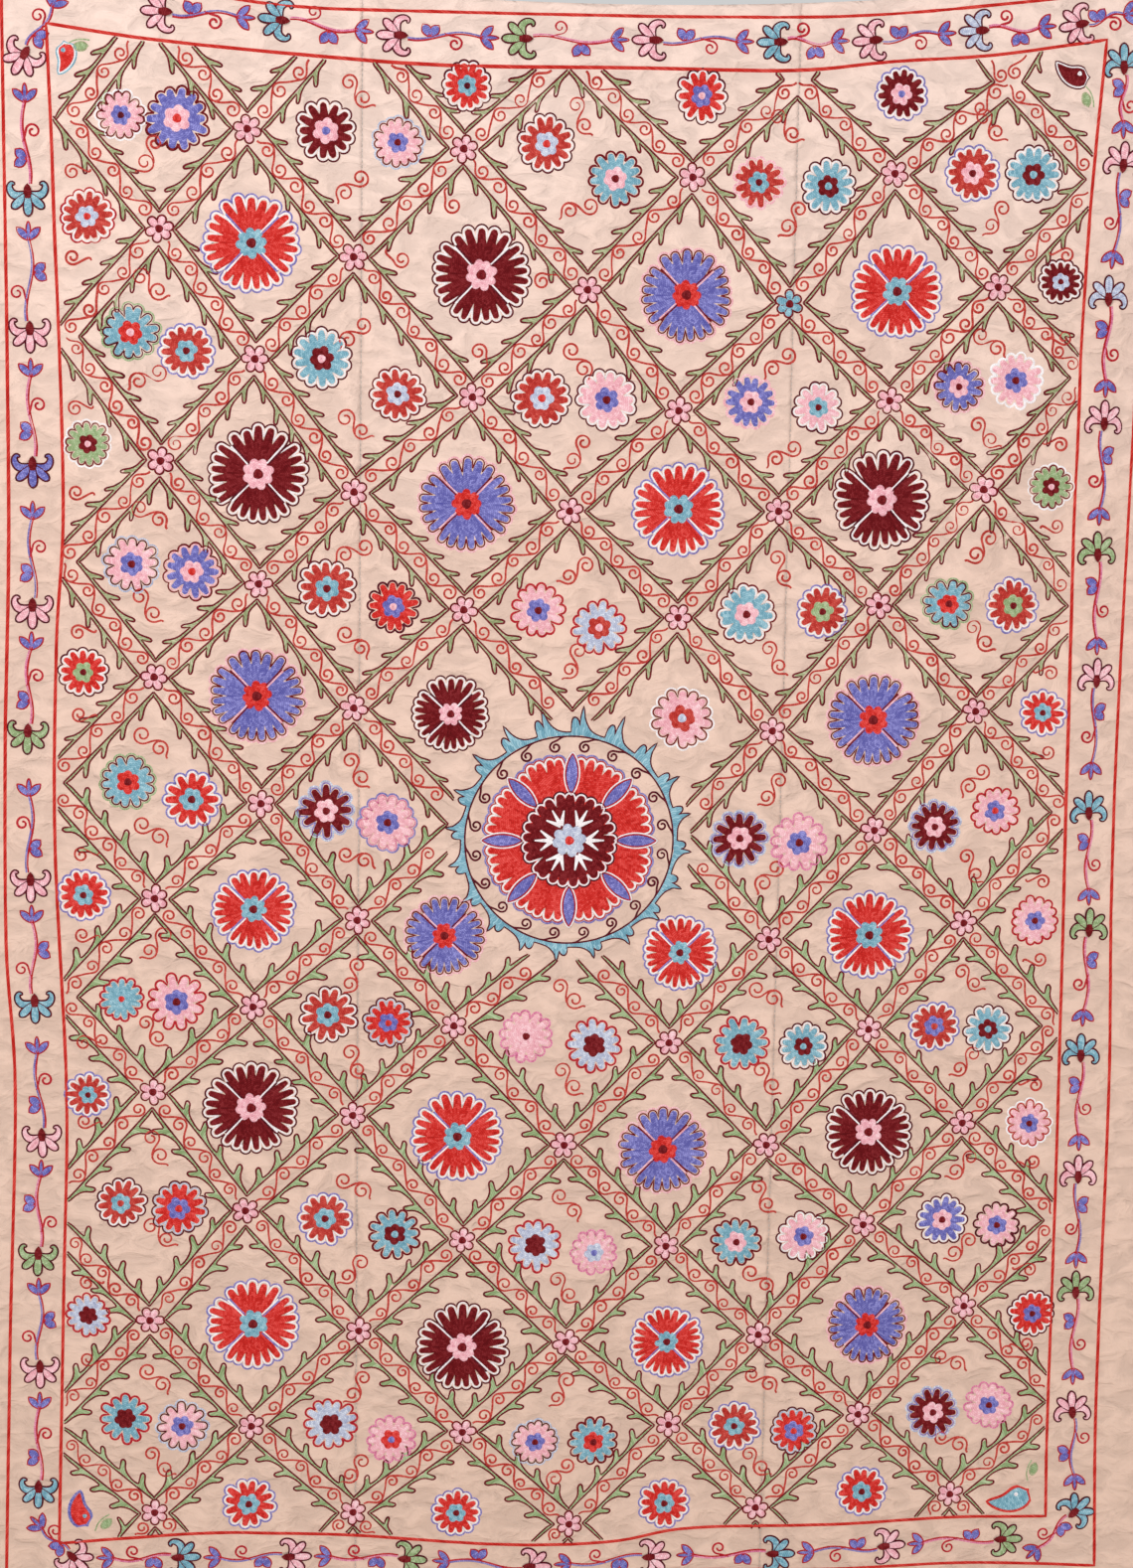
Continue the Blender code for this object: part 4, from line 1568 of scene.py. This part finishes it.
# Each word: the flower's colour, the x and z of its seed in mm, and the leaf's side. The side is 1 or 2 for
# the left of the growth, -1 or -2 for the right, and 2 or -2 where the leaf comes before the curl.
BORDER = [
    Run((-677, 25),
        "p,-743,-88,1 t,-740,-268,-1 p,-740,-448,2 v,-739,-628,-1 p,-742,-819,-1 g,-751,-991,-1 "
        "p,-751,-1198,1 t,-748,-1369,2 p,-741,-1561,-1 g,-749,-1733,-2 p,-749,-1899,2 "
        "t,-754,-2078,-1"),
    Run((-788, -2096),
        "p,-705,-2182,-1 t,-552,-2179,-1 p,-394,-2185,-1 g,-227,-2194,-1 p,-46,-2205,2 "
        "p,130,-2200,-1 t,312,-2196,-1 p,477,-2188,1 g,654,-2185,1"),
    Run((668, -2239),
        "t,760,-2141,-1 p,749,-1985,2 g,747,-1802,1 p,744,-1628,-1 t,741,-1448,1 g,746,-1264,-1 "
        "t,738,-1094,1 p,741,-905,-1 g,734,-727,1 p,736,-545,-1 l,736,-374,1 p,751,-192,-1 "
        "t,747,-60,1"),
    Run((799, 18),
        "p,682,-9,-1 l,543,-21,2 p,396,-38,-1 t,265,-44,2 p,95,-46,-1 g,-81,-49,2 p,-249,-49,-1 "
        "t,-406,-33,2 p,-561,-26,-1"),
]
for run in BORDER:
    before = np.array(run.start, float)
    for word in run.sprigs.split():
        colour, *numbers = word.split(",")
        x, z, style = (int(number) for number in numbers)
        here = np.array([x, z], float)
        distance = np.hypot(*(here - before))
        angle = math.atan2(*(here - before)[::-1])
        length = min(SPRIG_LENGTH, distance - HEAD_AND_GAP)
        work_sprig(colour, here * MM, angle, length, 1 if style > 0 else -1, abs(style) == 2)
        before = here
print("border sprigs:", sum(len(run.sprigs.split()) for run in BORDER))

# %% [markdown]
# ## Paisleys in the corners
#
# Each corner of the field holds a drop-shaped paisley with a thin green sprig beside it.

# %% Corner paisleys
Paisley = namedtuple("Paisley", "x z turn size fill inner outer sprig_x sprig_z sprig_turn")
PAISLEYS = [
    Paisley(-0.692, -0.085, -1.75, 1.05, "r", "w", "t", -0.672, -0.069, 0.1),
    Paisley(0.680, -0.072, 2.75, 1.3, "m", "w", "d", 0.700, -0.104, -1.25),
    Paisley(-0.690, -2.112, 1.75, 1.35, "r", "v", "v", -0.664, -2.128, 0.75),
    Paisley(0.664, -2.116, -2.85, 1.65, "t", "r", "r", 0.689, -2.078, 1.3),
]
STALK = [(-16, -2), (-6, 3), (6, 4), (16, 2)]  # bend points in mm


def work_paisley(drop):
    """The drop with its two outlines and its eye."""
    centre = np.array([drop.x, drop.z])
    share = np.linspace(0, 1, 12)
    spine = np.stack([-14 + 36 * share, 5.5 * np.sin(math.pi * share)], -1) * MM
    spine = place(spine * drop.size, centre, drop.turn)
    widths = 10.5 * MM * drop.size * np.sin(math.pi * share**0.62) ** 0.7 * (1 - 0.35 * share)
    work_leaf(drop.fill, spine, widths, rows=6)
    for letter, spare in ((drop.inner, 1.2 * MM), (drop.outer, 3.4 * MM)):
        work_row(letter, outline_of(spine, widths, spare), closed=True, width=2.4 * MM)
    eye = place([(-6 * MM, 0)], centre, drop.turn)[0]
    work_dot("t" if drop.fill == "r" else "w", eye, 3.2 * MM, 1.0 * MM)


def work_corner_sprig(spot, turn):
    """The thin green sprig beside a paisley."""
    work_row("g", place(smooth(STALK, 6) * MM, spot, turn), width=2.2 * MM)
    spine, widths = lobe(17 * MM, 4.6 * MM)
    outlined_leaf("g", "s", place(spine - (5 * MM, 5 * MM), spot, turn), widths)


for drop in PAISLEYS:
    work_paisley(drop)
    work_corner_sprig(np.array([drop.sprig_x, drop.sprig_z]), drop.sprig_turn)
print(len(PAISLEYS), "paisleys")

# %% [markdown]
# ## From arrays to pieces
#
# Each thread's grids become one mesh, with two maps. `Thread` carries the pattern of the stitches, and
# `OFBake` lays the piece out flat as it is seen, for a picture of its colours. The back of all the
# stitching is one mesh with a slot for each thread.

# %% Make the stitched pieces
MAP_CORNER = (-0.90, -2.32)  # x and z of the corner of the picture of colours, in metres
MAP_SIZE = (1.80, 2.44)


def make_stitched(name, stitching):
    """Makes one joined mesh, and returns its number of triangles."""
    points, quads, maps = map(np.concatenate, (stitching.points, stitching.quads, stitching.maps))
    mesh = bpy.data.meshes.new(name)
    mesh.from_pydata(points, [], quads)
    layout = (points[:, [0, 2]] - MAP_CORNER) / MAP_SIZE
    for title, values in (("OFBake", layout), ("Thread", maps)):
        corners = values[quads.ravel()].astype(np.float32)
        mesh.uv_layers.new(name=title).data.foreach_set("uv", corners.ravel())
    letters = sorted({letter for letter, _ in stitching.letters})
    for letter in letters:
        mesh.materials.append(floss[letter])
    slots = np.repeat([letters.index(letter) for letter, _ in stitching.letters],
                      [size for _, size in stitching.letters])
    mesh.polygons.foreach_set("material_index", slots.astype(np.int32))
    mesh.shade_smooth()
    mesh.update()
    piece = new_object(name, mesh)
    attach(piece, "root")
    print(name, 2 * len(quads), "triangles")
    return 2 * len(quads)


def piece_name(material):
    short = material.name.replace(" cotton floss", "").replace(" cotton cord", "").replace(",", "")
    return "stitching_" + short.replace(" ", "_").replace("-", "_")


total = make_stitched("stitching_back", back)
for letter, stitching in front.items():
    if stitching.count:
        total += make_stitched(piece_name(floss[letter]), stitching)
print("stitching in all:", total, "triangles")

# %% [markdown]
# ## Light and floor
#
# The picture was taken in even, soft light from the front, a little from the upper left, so that the folds
# show only faintly. One wide lamp does most of it, and a pale world fills the shadows.

# %% Light
WORLD_STRENGTH = 0.62
LAMP_AIM = Vector((0, 0, -1.1))
Lamp = namedtuple("Lamp", "name place size power")
LAMPS = [
    Lamp("key light", (-2.4, -3.4, 1.2), 2.2, 92),
    Lamp("fill light", (2.6, -3.6, -0.6), 2.6, 36),
    Lamp("back light", (1.0, 3.6, 0.8), 2.6, 60),
]
for lamp in LAMPS:
    light = bpy.data.lights.new(lamp.name, "AREA")
    light.size = lamp.size
    light.energy = lamp.power
    holder = new_object(lamp.name, light)
    holder.location = lamp.place
    holder.rotation_euler = (LAMP_AIM - holder.location).to_track_quat("-Z", "Y").to_euler()
world = bpy.data.worlds.new("soft studio light")
world.use_nodes = True
background = world.node_tree.nodes["Background"]
background.inputs["Color"].default_value = linear("#FFFFFF")
background.inputs["Strength"].default_value = WORLD_STRENGTH
bpy.context.scene.world = world
bpy.context.scene.view_settings.view_transform = "Standard"
print(len(LAMPS), "lamps")

# %% Floor
FLOOR_Z = -2.62
FLOOR_HALF = 6
floor_mesh = bpy.data.meshes.new("floor")
bm = bmesh.new()
bmesh.ops.create_grid(bm, x_segments=1, y_segments=1, size=FLOOR_HALF)
bmesh.ops.translate(bm, verts=bm.verts[:], vec=(0, 0, FLOOR_Z))
bm.to_mesh(floor_mesh)
bm.free()
floor_material, _, floor_shader = new_material("matt studio floor", roughness=0.9)
floor_shader.inputs["Base Color"].default_value = linear("#E9E6E1")
floor_mesh.materials.append(floor_material)
floor = new_object("floor", floor_mesh)
print("the floor lies", round(-FLOOR_Z - DROP, 2), "m below the hem")
